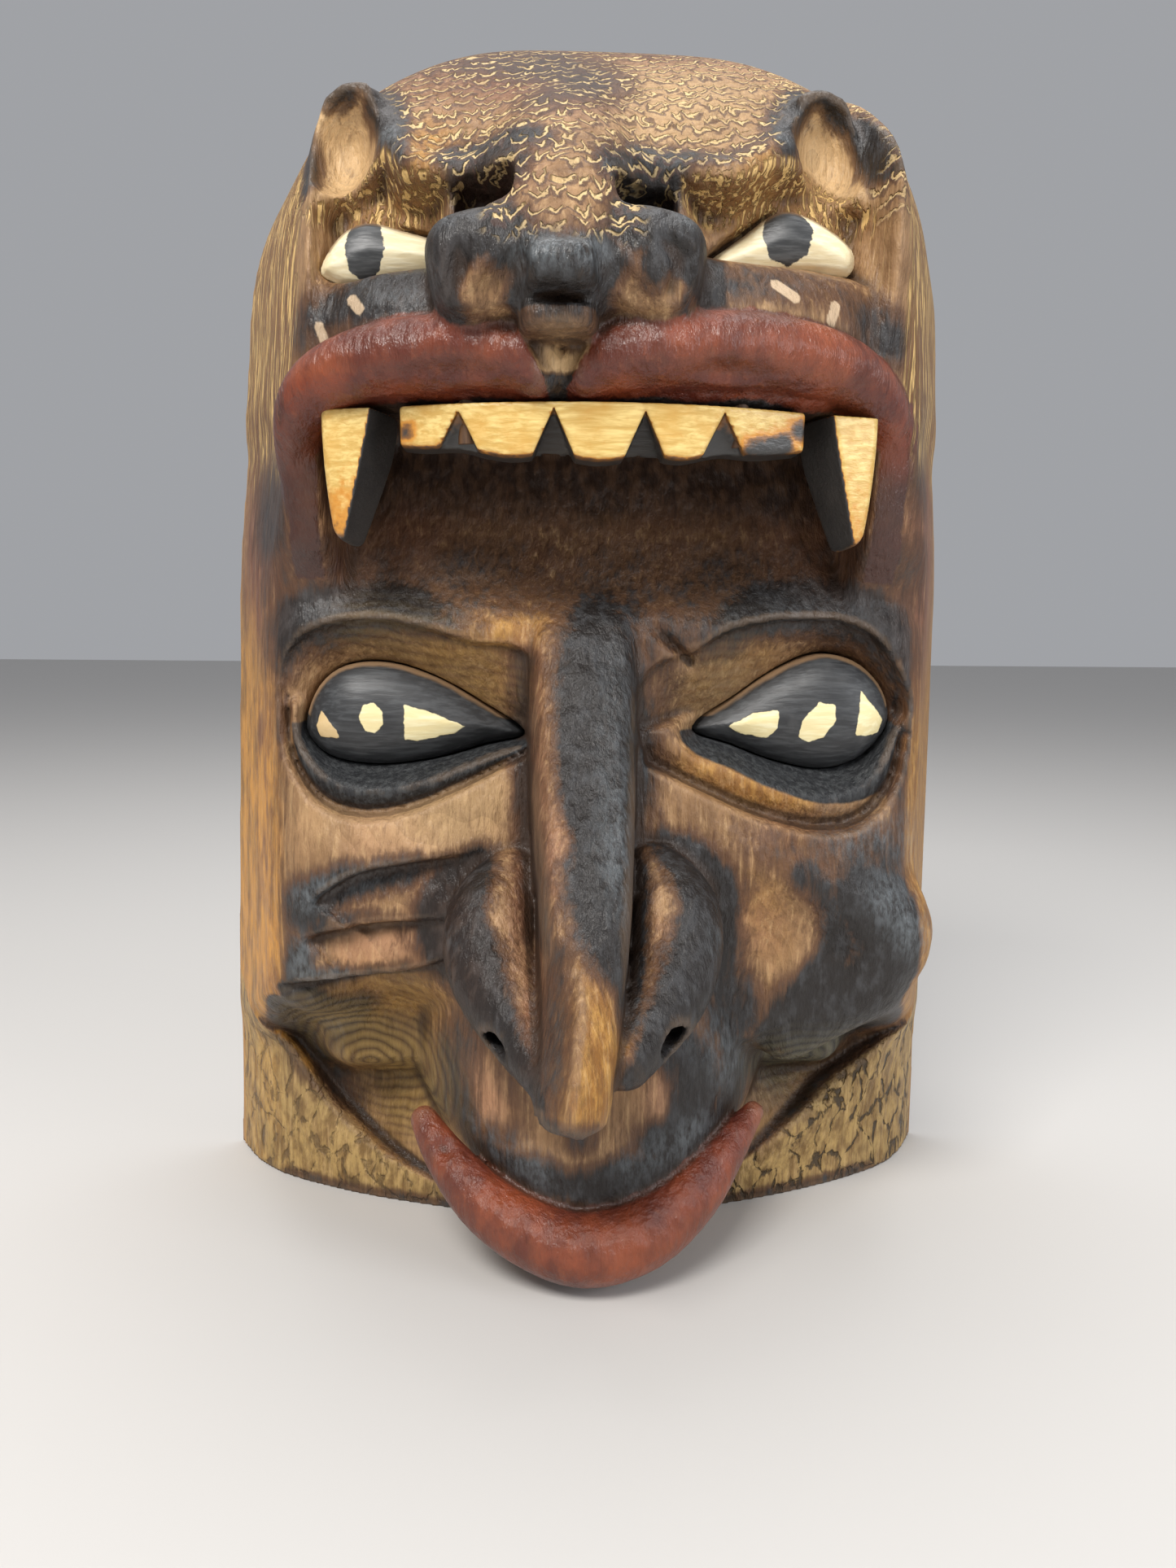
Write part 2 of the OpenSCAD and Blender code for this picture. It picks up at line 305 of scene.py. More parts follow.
def socket(H0, X, Z, eye, lid, brow):
    """Heights inside an eye socket, and how far inside it a place is."""
    ring = curve(eye, closed=True, per=3)
    lid_line, brow_line = curve(lid), curve(brow)
    within = inside(np.vstack([lid_line, brow_line[::-1]]), X, Z)
    to_eye, _, _ = nearest(ring, X, Z, closed=True)
    to_lid, _, _ = nearest(lid_line, X, Z)
    to_brow, _, _ = nearest(brow_line, X, Z)
    up = to_brow / (to_brow + to_eye + 1e-3)
    upper = H0 - 1.5 - 9.5 * up ** 1.2
    low = to_eye / (to_lid + to_eye + 1e-3)
    lower = H0 - 10.5 + 8.2 * ramp(-0.1, 0.5, low) - 2.6 * ramp(0.5, 1.1, low)
    above = ramp(-1.5, 1.5, to_lid - to_brow)
    heights = lower * (1 - above) + upper * above
    return heights, within


def face_heights(X, Z):
    edge = table(X, CHEEK_EDGE)
    slab = foot_depth(X)
    H0 = table(Z, FACE_DEPTH) * (1 - 0.13 * (X / 62) ** 2)
    low = ramp(-17, 1.5, Z - edge)
    H0 = slab + (H0 - slab) * low ** 1.15
    # the walls beside the open mouth stand as far forward as the cheeks
    wall = 50 + 0.22 * (Z - 130)
    H0 += np.maximum(wall - H0, 0) * ramp(44, 48.5, np.abs(X)) * ramp(118, 134, Z)
    H = H0.copy()
    H += 1.4 * np.exp(-((Z - 120.5) / 5.5) ** 2) * ramp(6, 14, np.abs(X + 2)) * ramp(66, 54, np.abs(X))
    H += 3.0 * np.exp(-((X + 36) / 24) ** 2 - ((Z - 73) / 12) ** 2)
    H += 2.5 * np.exp(-((X - 36) / 22) ** 2 - ((Z - 77) / 9) ** 2)
    for eye, lid, brow in ((LEFT_EYE, LEFT_LID, LEFT_BROW), (RIGHT_EYE, RIGHT_LID, RIGHT_BROW)):
        heights, within = socket(H0, X, Z, eye, lid, brow)
        H += (heights - H) * ramp(-0.45, 0.45, within)
    # crack beside the root of the nose
    H += stroke([(10, 119, -1.0, 1.0), (14, 115.5, -2.5, 1.0), (17, 112.5, -1.5, 0.9)], X, Z)
    # left cheek: two slanted folds over a lower edge
    H += cliff([(-52, 67.5, 0.5, 5), (-50, 70, 3.0, 8), (-43, 74.3, 4.6, 9), (-33, 76.6, 4.2, 9),
                (-25, 78, 2.6, 7),
                (-19, 79.5, 0, 5)], X, Z)
    H += cliff([(-54, 60, 0.5, 5), (-51, 62.2, 3.0, 7), (-41, 64.6, 4.2, 8), (-30, 66, 2.2, 6),
                (-24, 67, 0, 5)],
               X, Z)
    H += cliff([(-60, 50, 0.5, 6), (-54, 52.3, 5.0, 10), (-44, 53.8, 8.0, 11), (-35, 55.3, 6.0, 10),
                (-28, 58, 2.5, 8), (-23, 62, 0, 6)], X, Z)
    H += stroke([(-60, 46.5, 1.5, 4), (-54, 46, 4.0, 4.5), (-47, 44.5, 2.5, 4)], X, Z)
    # bowls carved under the cheeks, down to a slanted edge on the slab
    H += -9.5 * np.exp(-((X + 43) / 12.5) ** 2 - ((Z - 23.5) / 8.5) ** 2)
    H += -9.5 * np.exp(-((X - 46) / 13) ** 2 - ((Z - 28) / 8) ** 2)
    H += -6.0 * np.exp(-((X + 59) / 6) ** 2 - ((Z - 43) / 5) ** 2)
    H -= cliff([(-26, 4, 0, 5), (-32, 6, -1.5, 5), (-42, 10, -4.5, 7), (-54, 18, -5.5, 8), (-63, 30, -4, 7),
                (-75, 41, 0, 4)], X, Z)
    H += cliff([(30, 8, 0, 5), (40, 16, -4, 7), (53, 24, -5.5, 8), (66, 32, -4, 7), (76, 38, 0, 5)], X, Z)
    shifts = ((1, 3), (1, -3), (0.94, 0), (0.94, 3))
    near = [hollow_heights(X * narrower, Z + up) for narrower, up in shifts]
    H = smooth_max(H, np.maximum.reduce(near) + 2.5, 6.0)
    # right cheek: fold that runs into the bulge
    H += stroke([(36, 79, -1.2, 2), (43, 73.5, -2.4, 2.2), (50, 70, -2.4, 2.5), (60, 68, -1, 2)], X, Z)
    return H


def cat_heights(X, Z):
    H = table(Z, CAT_DEPTH) * (1 - 0.20 * (X / 50) ** 2)
    H += stroke([(-36, 204, 1.5, 4), (-34.5, 199, 3.5, 3.6), (-31, 194, 4.0, 3.2), (-24, 191.8, 4, 3),
                 (-15, 193, 2.5, 3)], X, Z, 2.5)
    H += stroke([(33, 203, 1.5, 4), (28, 197.5, 3.5, 3.6), (22, 193, 4.0, 3.2), (15, 192.6, 3.5, 3),
                 (6, 193, 2.5, 3)], X, Z, 2.5)
    left = inside([(-49, 175), (-50, 188), (-40, 194), (-36, 196), (-32.5, 191), (-25, 189.5), (-24, 175)],
                  X, Z)
    right = inside([(14, 177), (12, 190), (22, 190.5), (28, 194), (37, 197), (47, 190), (46, 176)], X, Z)
    H -= 6.0 * ramp(-0.4, 4, left) + 6.0 * ramp(-0.4, 4, right)
    # pads over the lips
    H += 3.0 * np.exp(-((X + 33) / 13) ** 2 - ((Z - 169) / 5) ** 2)
    H += 3.0 * np.exp(-((X - 28) / 16) ** 2 - ((Z - 170) / 5) ** 2)
    return H


# ---------------------------------------------------------------- solids on a lattice

def smooth_min(a, b, k):
    if k <= 0:
        return np.minimum(a, b)
    h = np.maximum(k - np.abs(a - b), 0) / k
    return np.minimum(a, b) - h * h * k * 0.25


def smooth_max(a, b, k):
    return -smooth_min(-a, -b, k)


class Carving:
    """A signed distance field in millimetres on a box of the block's frame, negative in the wood."""

    def __init__(self, low, high, step):
        self.step = step
        self.x, self.d, self.z = (np.arange(a, b + step, step, dtype=np.float32) for a, b in zip(low, high))
        self.X, self.Z = np.meshgrid(self.x, self.z, indexing="ij")
        self.f = None

    def heights(self, H, steepest=5.0):
        """Field of everything behind a height map on the (x, z) plane."""
        gx, gz = np.gradient(H, self.step)
        steep = np.minimum(np.sqrt(1 + gx * gx + gz * gz), steepest)
        return ((self.d[None, :, None] - H[:, None, :]) / steep[:, None, :]).astype(np.float32)

    def part(self, low, high):
        axes = self.x, self.d, self.z
        cells = tuple(slice(*np.searchsorted(a, span)) for a, span in zip(axes, zip(low, high)))
        x, d, z = (a[cell] for a, cell in zip(axes, cells))
        return cells, x[:, None, None], d[None, :, None], z[None, None, :]

    def add(self, cells, shape, k):
        self.f[cells] = smooth_min(self.f[cells], shape.astype(np.float32), k)

    def cut(self, cells, shape, k):
        self.f[cells] = smooth_max(self.f[cells], -shape.astype(np.float32), k)

    def ball(self, at, radii, k=2.0, remove=False, tilt=0.0, power=2.0):
        """A rounded lump, turned by tilt degrees in the (x, z) plane; a high power makes it boxy."""
        reach = max(radii) + k + 4
        cells, x, d, z = self.part([c - reach for c in at], [c + reach for c in at])
        c, s = math.cos(math.radians(tilt)), math.sin(math.radians(tilt))
        px, pz = x - at[0], z - at[2]
        p = (c * px + s * pz, d - at[1] + 0 * px, -s * px + c * pz)
        k0 = sum((np.abs(v) / r) ** power for v, r in zip(p, radii)) ** (1 / power)
        k1 = np.sqrt(sum((v / (r * r)) ** 2 for v, r in zip(p, radii))) + 1e-6
        shape = k0 * (k0 - 1) / np.maximum(k1, 0.35 * k0 / max(radii))
        (self.cut if remove else self.add)(cells, shape, k)

    def tube(self, points, k=2.0, remove=False, flat=1.0):
        """A rope of wood through rows of (x, d, z, radius); flat stretches it along d."""
        rows = curve(points, per=4)
        reach = rows[:, 3].max() * max(flat, 1) + k + 4
        cells, x, d, z = self.part(rows[:, :3].min(0) - reach, rows[:, :3].max(0) + reach)
        shape = np.full(np.broadcast(x, d, z).shape, 1e3, np.float32)
        for a, b in zip(rows[:-1], rows[1:]):
            e = (b - a)[:3]
            px, pd, pz = x - a[0], d - a[1], z - a[2]
            t = np.clip((px * e[0] + pd * e[1] + pz * e[2]) / max(e @ e, 1e-9), 0, 1)
            r = a[3] + t * (b[3] - a[3])
            gap = np.sqrt((px - t * e[0]) ** 2 + ((pd - t * e[1]) / flat) ** 2 + (pz - t * e[2]) ** 2) - r
            shape = np.minimum(shape, gap)
        (self.cut if remove else self.add)(cells, shape, k)

    def mesh(self, name):
        """A Blender object, in metres in the row frame, of the field's zero surface."""
        reach = 3 * self.step
        grid = openvdb.FloatGrid(reach)
        grid.copyFromArray(np.clip(self.f, -reach, reach))
        points, quads = grid.convertToQuads(0.0)
        quads = np.ascontiguousarray(quads[:, ::-1])
        p = points * self.step + np.array((self.x[0], self.d[0], self.z[0]), np.float32)
        verts = np.stack([p[:, 0] * MM, BACK_Y - p[:, 1] * MM, p[:, 2] * MM], 1)
        mesh = bpy.data.meshes.new(name)
        mesh.vertices.add(len(verts))
        mesh.vertices.foreach_set("co", verts.astype(np.float32).ravel())
        mesh.loops.add(quads.size)
        mesh.loops.foreach_set("vertex_index", quads.astype(np.int32).ravel())
        mesh.polygons.add(len(quads))
        mesh.polygons.foreach_set("loop_start", np.arange(0, quads.size, 4, dtype=np.int32))
        mesh.polygons.foreach_set("loop_total", np.full(len(quads), 4, np.int32))
        mesh.update(calc_edges=True)
        mesh.validate()
        mesh.shade_smooth()
        obj = bpy.data.objects.new(name, mesh)
        bpy.context.scene.collection.objects.link(obj)
        return obj, p


def side_field(c):
    """The block's slanted sides."""
    wide = half_width(c.z)[None, None, :] - SIDE_SLOPE * c.d[None, :, None]
    off = np.abs(c.x[:, None, None] - lean(c.z)[None, None, :])
    return ((off - wide) / math.hypot(1, SIDE_SLOPE)).astype(np.float32)


def nose_shape(c):
    """The long bar of the nose, ending in a beak with two facets."""
    cells, x, d, z = c.part((-26, 20, 34), (22, 100, 132))
    centre = table(z, [(38, -5.4), (46, -4.8), (56, -3.6), (66, -2.8), (84, -2.6), (120, -2.4)])
    half = table(z, [(38, 7.2), (46, 7.4), (56, 7.8), (66, 8.2), (84, 9.6), (100, 10.6), (112, 11.4),
                     (122, 12.5)])
    front = table(z, [(38, 93.8), (45, 94.6), (54, 92.2), (66, 86.3), (84, 75.5), (100, 64.5), (112, 57.5),
                      (119, 53), (126, 45), (132, 36)])
    u = (x - centre) / half
    ridge = np.where(u < -0.1, 9.0 * (-0.1 - u), 5.6 * (u + 0.1)) + 20 * np.abs(u) ** 9
    bar = 1.4 * (u - 0.1) ** 2 + 26 * np.abs(u) ** 9
    blend = ramp(58, 74, z)
    top = front - ridge * (1 - blend) - bar * blend
    steep = 1 + 2.0 * ramp(0.5, 1, np.abs(u))
    shape = np.maximum((d - top) / steep, (41.5 + 0.10 * (DEPTH - d) - z) * 0.97)
    tip = (d - 88) * 0.62 - (z - 44.5) * 0.72 - (x + 5) * 0.30 - 4.6
    c.add(cells, np.maximum(shape, tip), 1.2)


def muzzle_shape(c):
    """The mound between the nose and the lips."""
    cells, x, d, z = c.part((-46, 15, -3), (46, 80, 66))
    depth = table(z, [(-3, 52), (5, 60), (12, 63), (20, 63), (30, 62), (42, 61.5), (54, 59), (66, 55)])
    half = table(z, [(-3, 18), (6, 22), (16, 26), (28, 31), (42, 31.5), (66, 30)])
    u = np.abs(x - 0.5) / half
    top = depth - 4 * u ** 2 - 18 * u ** 4
    floor = 4 + 0.016 * x * x
    c.add(cells, np.maximum((d - top) / (1 + 0.8 * ramp(0.4, 1, u)), floor - z), 2.5)


def carve_face(c):
    # right cheek: a hollow beside the nose, and the bulge that curls round it
    c.tube([(27, 49, 78, 4), (36, 49, 75, 5.5), (45, 46, 70, 8), (53.5, 41, 62.5, 12),
            (52.5, 40, 55.5, 11.5),
            (45, 41, 48, 9), (38, 43, 41.5, 6)], 3.0)
    c.tube([(25, 73, 80, 5), (30, 71, 70, 9), (32.5, 69, 59, 11.5), (28, 67, 47, 10.5), (22, 65, 37, 7)],
           1.4,
           remove=True, flat=1.6)
    # wings of the nose, that run down to its tip
    c.tube([(-15, 55, 73.5, 6), (-18.2, 59, 68, 8.2), (-18.2, 64, 61, 8.2), (-14, 72, 54, 6.8),
            (-9, 81, 48, 4.4)], 1.0)
    c.tube([(10.5, 55, 74.5, 6), (13.4, 59, 69, 8.2), (13.2, 63, 62, 8.5), (9.8, 70, 55.5, 7.4),
            (3.5, 80, 49.5, 4.8)],
           1.0)
    nose_shape(c)
    muzzle_shape(c)
    c.ball((-2, 72, 32), (7, 8, 9), 3.0, remove=True)
    c.tube([(12, 82, 50, 2.4), (11.2, 70, 54, 2.4), (10, 62, 57, 2)], 0.8, remove=True)
    c.tube([(-18, 80, 50, 2.2), (-16, 68, 54, 2.0)], 0.8, remove=True)
    # lips
    c.tube(LIPS, 0.4)
    c.tube(LIP_LINE, 0.4, remove=True)
    c.ball((-27.5, 61, 25.5), (2.6, 4, 2.2), 0.8, remove=True)
    for eye in (LEFT_EYE, RIGHT_EYE):
        outline_cut(c, eye, 32, 70, 0.4, 0.3)


def outline_cut(c, outline, low_d, high_d, grow, k):
    """Cuts straight in along an outline on the (x, z) plane, down to a depth."""
    low, high = np.min(outline, 0) - 4, np.max(outline, 0) + 4
    cells, x, d, z = c.part((low[0], low_d - 3, low[1]), (high[0], high_d, high[1]))
    X, Z = np.meshgrid(x.ravel(), z.ravel(), indexing="ij")
    within = inside(curve(outline, closed=True, per=3), X, Z)
    c.cut(cells, np.maximum(-within[:, None, :] - grow, low_d - d), k)


def carve_cat(c):
    # snout
    c.tube([(-6, 30, 203, 11), (-6.5, 45.0, 197, 13), (-7, 56.5, 189, 13.6), (-7.3, 66, 180, 13.2),
            (-7.4, 72.5, 173.5, 11)],
           4.0)
    # ears
    c.ball((-42.5, 38, 200.5), (8.0, 13, 11.5), 1.8, tilt=-14)
    c.ball((38.5, 38, 201.5), (8.2, 13, 11.5), 1.8, tilt=14)
    c.tube([(-43, 44, 206, 4.5), (-40.5, 46.5, 208.6, 1.4)], 1.5)
    c.tube([(39, 44, 207, 4.5), (35.5, 46.5, 209.0, 1.4)], 1.5)
    c.ball((-44.0, 53, 200.0), (6.6, 11, 10.0), 0.3, remove=True, tilt=-12)
    c.ball((39.6, 53, 200.8), (6.9, 11, 10.0), 0.3, remove=True, tilt=10)
    # notches between brow and snout
    c.ball((-19.5, 74, 186.3), (5.2, 19, 3.7), 0.5, remove=True, power=4, tilt=-6)
    c.ball((6.5, 74, 185.5), (5.6, 19, 3.3), 0.5, remove=True, power=4, tilt=8)
    # rolls of the upper lip, and the flat folds at the corners of the mouth
    c.tube(CAT_LIP_LEFT, 1.2, flat=CAT_LIP_FLAT)
    c.tube(CAT_LIP_RIGHT, 1.2, flat=CAT_LIP_FLAT)
    c.tube([(-36, 61.5, 157.4, 2.4), (-20, 66.5, 157, 2.6), (0, 69, 156.9, 2.7), (20, 66.5, 157, 2.6),
            (37, 61, 157.4, 2.4)], 0.6)
    c.tube(CORNER_LEFT, 2.0)
    c.tube(CORNER_RIGHT, 2.0)
    c.ball((-27, 79.5, 157.2), (13, 7.6, 2.8), 1.2, remove=True)
    c.ball((24, 79.5, 157.6), (14, 7.6, 2.8), 1.2, remove=True)
    # nostrils and nose pad
    c.ball((-19.6, 69.0, 172.8), (8.0, 12.6, 8.4), 1.8, power=3.0, tilt=14)
    c.ball((6.4, 69.0, 173.4), (8.4, 12.6, 8.6), 1.8, power=3.0, tilt=-12)
    c.ball((-7.5, 76.5, 170.8), (6.2, 10.8, 4.2), 0.9, power=3.0)
    c.tube([(-14, 84.5, 174, 1.4), (-15.2, 83.0, 170.0, 3.0), (-18.5, 82, 166.5, 3.2)], 1.0, remove=True)
    c.tube([(-23.5, 82, 175, 1.0), (-22.5, 81, 171, 1.8), (-24, 80, 167.5, 1.4)], 0.8, remove=True)
    c.tube([(-1, 84.5, 175, 1.2), (0.6, 83.5, 170.5, 2.8), (4, 82, 167, 3.0)], 1.0, remove=True)
    c.tube([(7.4, 82, 175.5, 1.2), (10.6, 81, 172.5, 1.9), (9.6, 80.5, 168.5, 1.7)], 0.8, remove=True)
    c.ball((-7.7, 72, 165.0), (6.0, 11, 3.0), 0.6, power=4)
    c.ball((-7.7, 88, 166.8), (6.6, 9.0, 0.9), 0.3, remove=True)
    cells, x, d, z = c.part((-17, 58, 150), (3, 95, 162.5))
    wedge = np.maximum(np.abs(x - WEDGE_X) - 0.5 * (z - WEDGE_Z), 73.8 - d)
    c.cut(cells, wedge, 0.4)
    for eye in (CAT_LEFT_EYE, CAT_RIGHT_EYE):
        outline_cut(c, eye, 50.5, 82, 0.5, 0.3)
        outline_cut(c, [(x * 0.94 + eye[4][0] * 0.06, z + 1.7) for x, z in eye], 52.5, 82, 0.2, 0.4)


def hollow_heights(X, Z):
    rim, floor, top = 17, 20, 192
    side = ramp(0, 16, half_width(Z) - rim - np.abs(X))
    tall = ramp(floor, floor + 16, Z) * ramp(top, top - 22, Z)
    shallow = 1 - 0.25 * ramp(110, 130, Z) * ramp(170, 155, Z)
    return 30 * shallow * side * tall


# The hanger lies in a shallow seat in the back, a slot with round ends
SEAT_Z, SEAT_HALF, SEAT_R, SEAT_DEPTH = 206, 17.5, 6.0, 2.2


def seat_slot(x, z):
    return np.hypot(np.maximum(np.abs(x) - SEAT_HALF, 0), z - SEAT_Z) - SEAT_R


def hanger_seat(c):
    side = SEAT_HALF + SEAT_R + 3
    cells, x, d, z = c.part((-side, -3, SEAT_Z - SEAT_R - 3), (side, SEAT_DEPTH + 3, SEAT_Z + SEAT_R + 3))
    c.cut(cells, np.maximum(seat_slot(x, z), d - SEAT_DEPTH), 0)


def carve_mask():
    c = Carving((-HALF_W - 3, -3, -3), (HALF_W + 3, DEPTH + 3, HEIGHT + 3), STEP)
    sides = side_field(c)
    face = smooth_max(c.heights(face_heights(c.X, c.Z)), sides, 8.0)
    ceiling = (154.6 + 0.25 * np.sin(c.X * 0.31))[:, None, :]
    cat = np.maximum(c.heights(cat_heights(c.X, c.Z)), ceiling - c.z[None, None, :])
    cat = smooth_max(cat, sides, 11.0)
    c.f = smooth_min(face, cat, 5.0)
    carve_face(c)
    carve_cat(c)
    c.f = np.maximum(c.f, -c.heights(hollow_heights(c.X, c.Z)))
    c.f = smooth_max(c.f, c.z[None, None, :] - (HEIGHT - 0.4), 3.0)
    c.f = np.maximum(c.f, -c.d[None, :, None])
    c.f = np.maximum(c.f, -c.z[None, None, :])
    hanger_seat(c)
    return c


# ---------------------------------------------------------------- inset pieces

# Rim, height of the dome, back and softness of each pair of eyes, and how far the cat's hang down
FACE_EYE = 41.5, 5.2, 33.0, 4.0
CAT_EYE = 53.5, 3.0, 48.0, 3.0
CAT_EYE_DROP = 0.6


def eye_piece(name, outline, rim, dome, back, swell):
    """An eye let into its socket: a domed almond cut along the outline."""
    low, high = np.min(outline, 0), np.max(outline, 0)
    c = Carving((low[0] - 2, back - 2, low[1] - 2), (high[0] + 2, rim + dome + 2, high[1] + 2), FINE)
    within = inside(curve(outline, closed=True, per=4), c.X, c.Z)
    H = rim + dome * (1 - np.exp(-np.maximum(within, 0) / swell)) - 0.6 * ramp(1.0, 0, within)
    c.f = np.maximum(c.heights(H), np.maximum(-within[:, None, :] - 0.15, back - c.d[None, :, None]))
    return c.mesh(name)


def strip_front(x, z):
    """How far forward the front of the bowed tooth strip is."""
    bow = STRIP_BOW - np.sqrt(STRIP_BOW ** 2 - x ** 2)
    return STRIP_AT - bow - 0.10 * (153.5 - z)


# The strip's front and the radius of its bow, and each notch's x, height and half width
STRIP_AT, STRIP_BOW = 72.6, 78
TOOTH_NOTCHES = [(-23.3, 5.6, 3.2), (-8.2, 7.0, 3.4), (6.2, 6.8, 3.3), (19.0, 6.2, 3.5)]


def tooth_strip():
    """Incisors cut from one bowed strip with V notches."""
    c = Carving((-35, 54, 142), (35, 76, 156), FINE)
    x, d, z = c.x[:, None, None], c.d[None, :, None], c.z[None, None, :]
    front = strip_front(x, z)
    to_notch = np.minimum.reduce([np.abs(x - at) for at, _, _ in TOOTH_NOTCHES])
    bottom = 145.9 + 0.0026 * x ** 2 - 0.9 * (1 - np.exp(-(to_notch / 4.5) ** 2))
    f = np.maximum(d - front, front - 8.5 - d)
    f = smooth_max(f, bottom - z, 0.8)
    f = np.maximum(np.maximum(f, z - 153.95), np.abs(x) - 32.9)
    for at, tall, half in TOOTH_NOTCHES:
        notch = np.abs(x - at) / half + (z - bottom - tall) / tall
        reach = 1.6 + (0.25 if abs(at) > 15 else 1.1) * np.maximum(bottom + tall - z, 0)
        notch = np.maximum(notch * 1.9, (front - reach - d) * 0.7)
        f = np.maximum(f, -notch)
    c.f = f.astype(np.float32)
    return c.mesh("tooth_strip_carved")


def fang(name, side):
    """A long tooth: a pale face looking forward and a dark flank towards the middle."""
    c = Carving((-47 if side < 0 else 32, 48, 129), (-32 if side < 0 else 47, 67, 156), FINE)
    x, d, z = side * c.x[:, None, None], c.d[None, :, None], c.z[None, None, :]
    up = (z - 131) / 23
    outer = 46.2 - 2.2 * (1 - up) ** 2
    inner = 34.7 + 1.6 * (1 - np.clip(up, 0, 1)) ** 1.4
    edge = 37.8 + 5.6 * (1 - np.clip(up, 0, 1)) ** 1.1
    front = 64.2 - 3.0 * (1 - up) ** 1.5 - 0.30 * (x - edge)
    flank = (64.2 - 3.0 * (1 - up) ** 1.5) - 2.9 * (edge - x)
    f = smooth_max(d - front, (d - flank) / 3.0, 0.6)
    f = smooth_max(f, x - outer, 1.2)
    f = smooth_max(f, inner - x, 1.0)
    f = smooth_max(f, (51.0 + 3.0 * (1 - up)) - d, 1.0)
    f = smooth_max(f, 131.3 + 0.14 * (x - 38) ** 2 * 0.4 - z, 1.6)
    c.f = np.maximum(f, z - 153.95).astype(np.float32)
    return c.mesh(name)
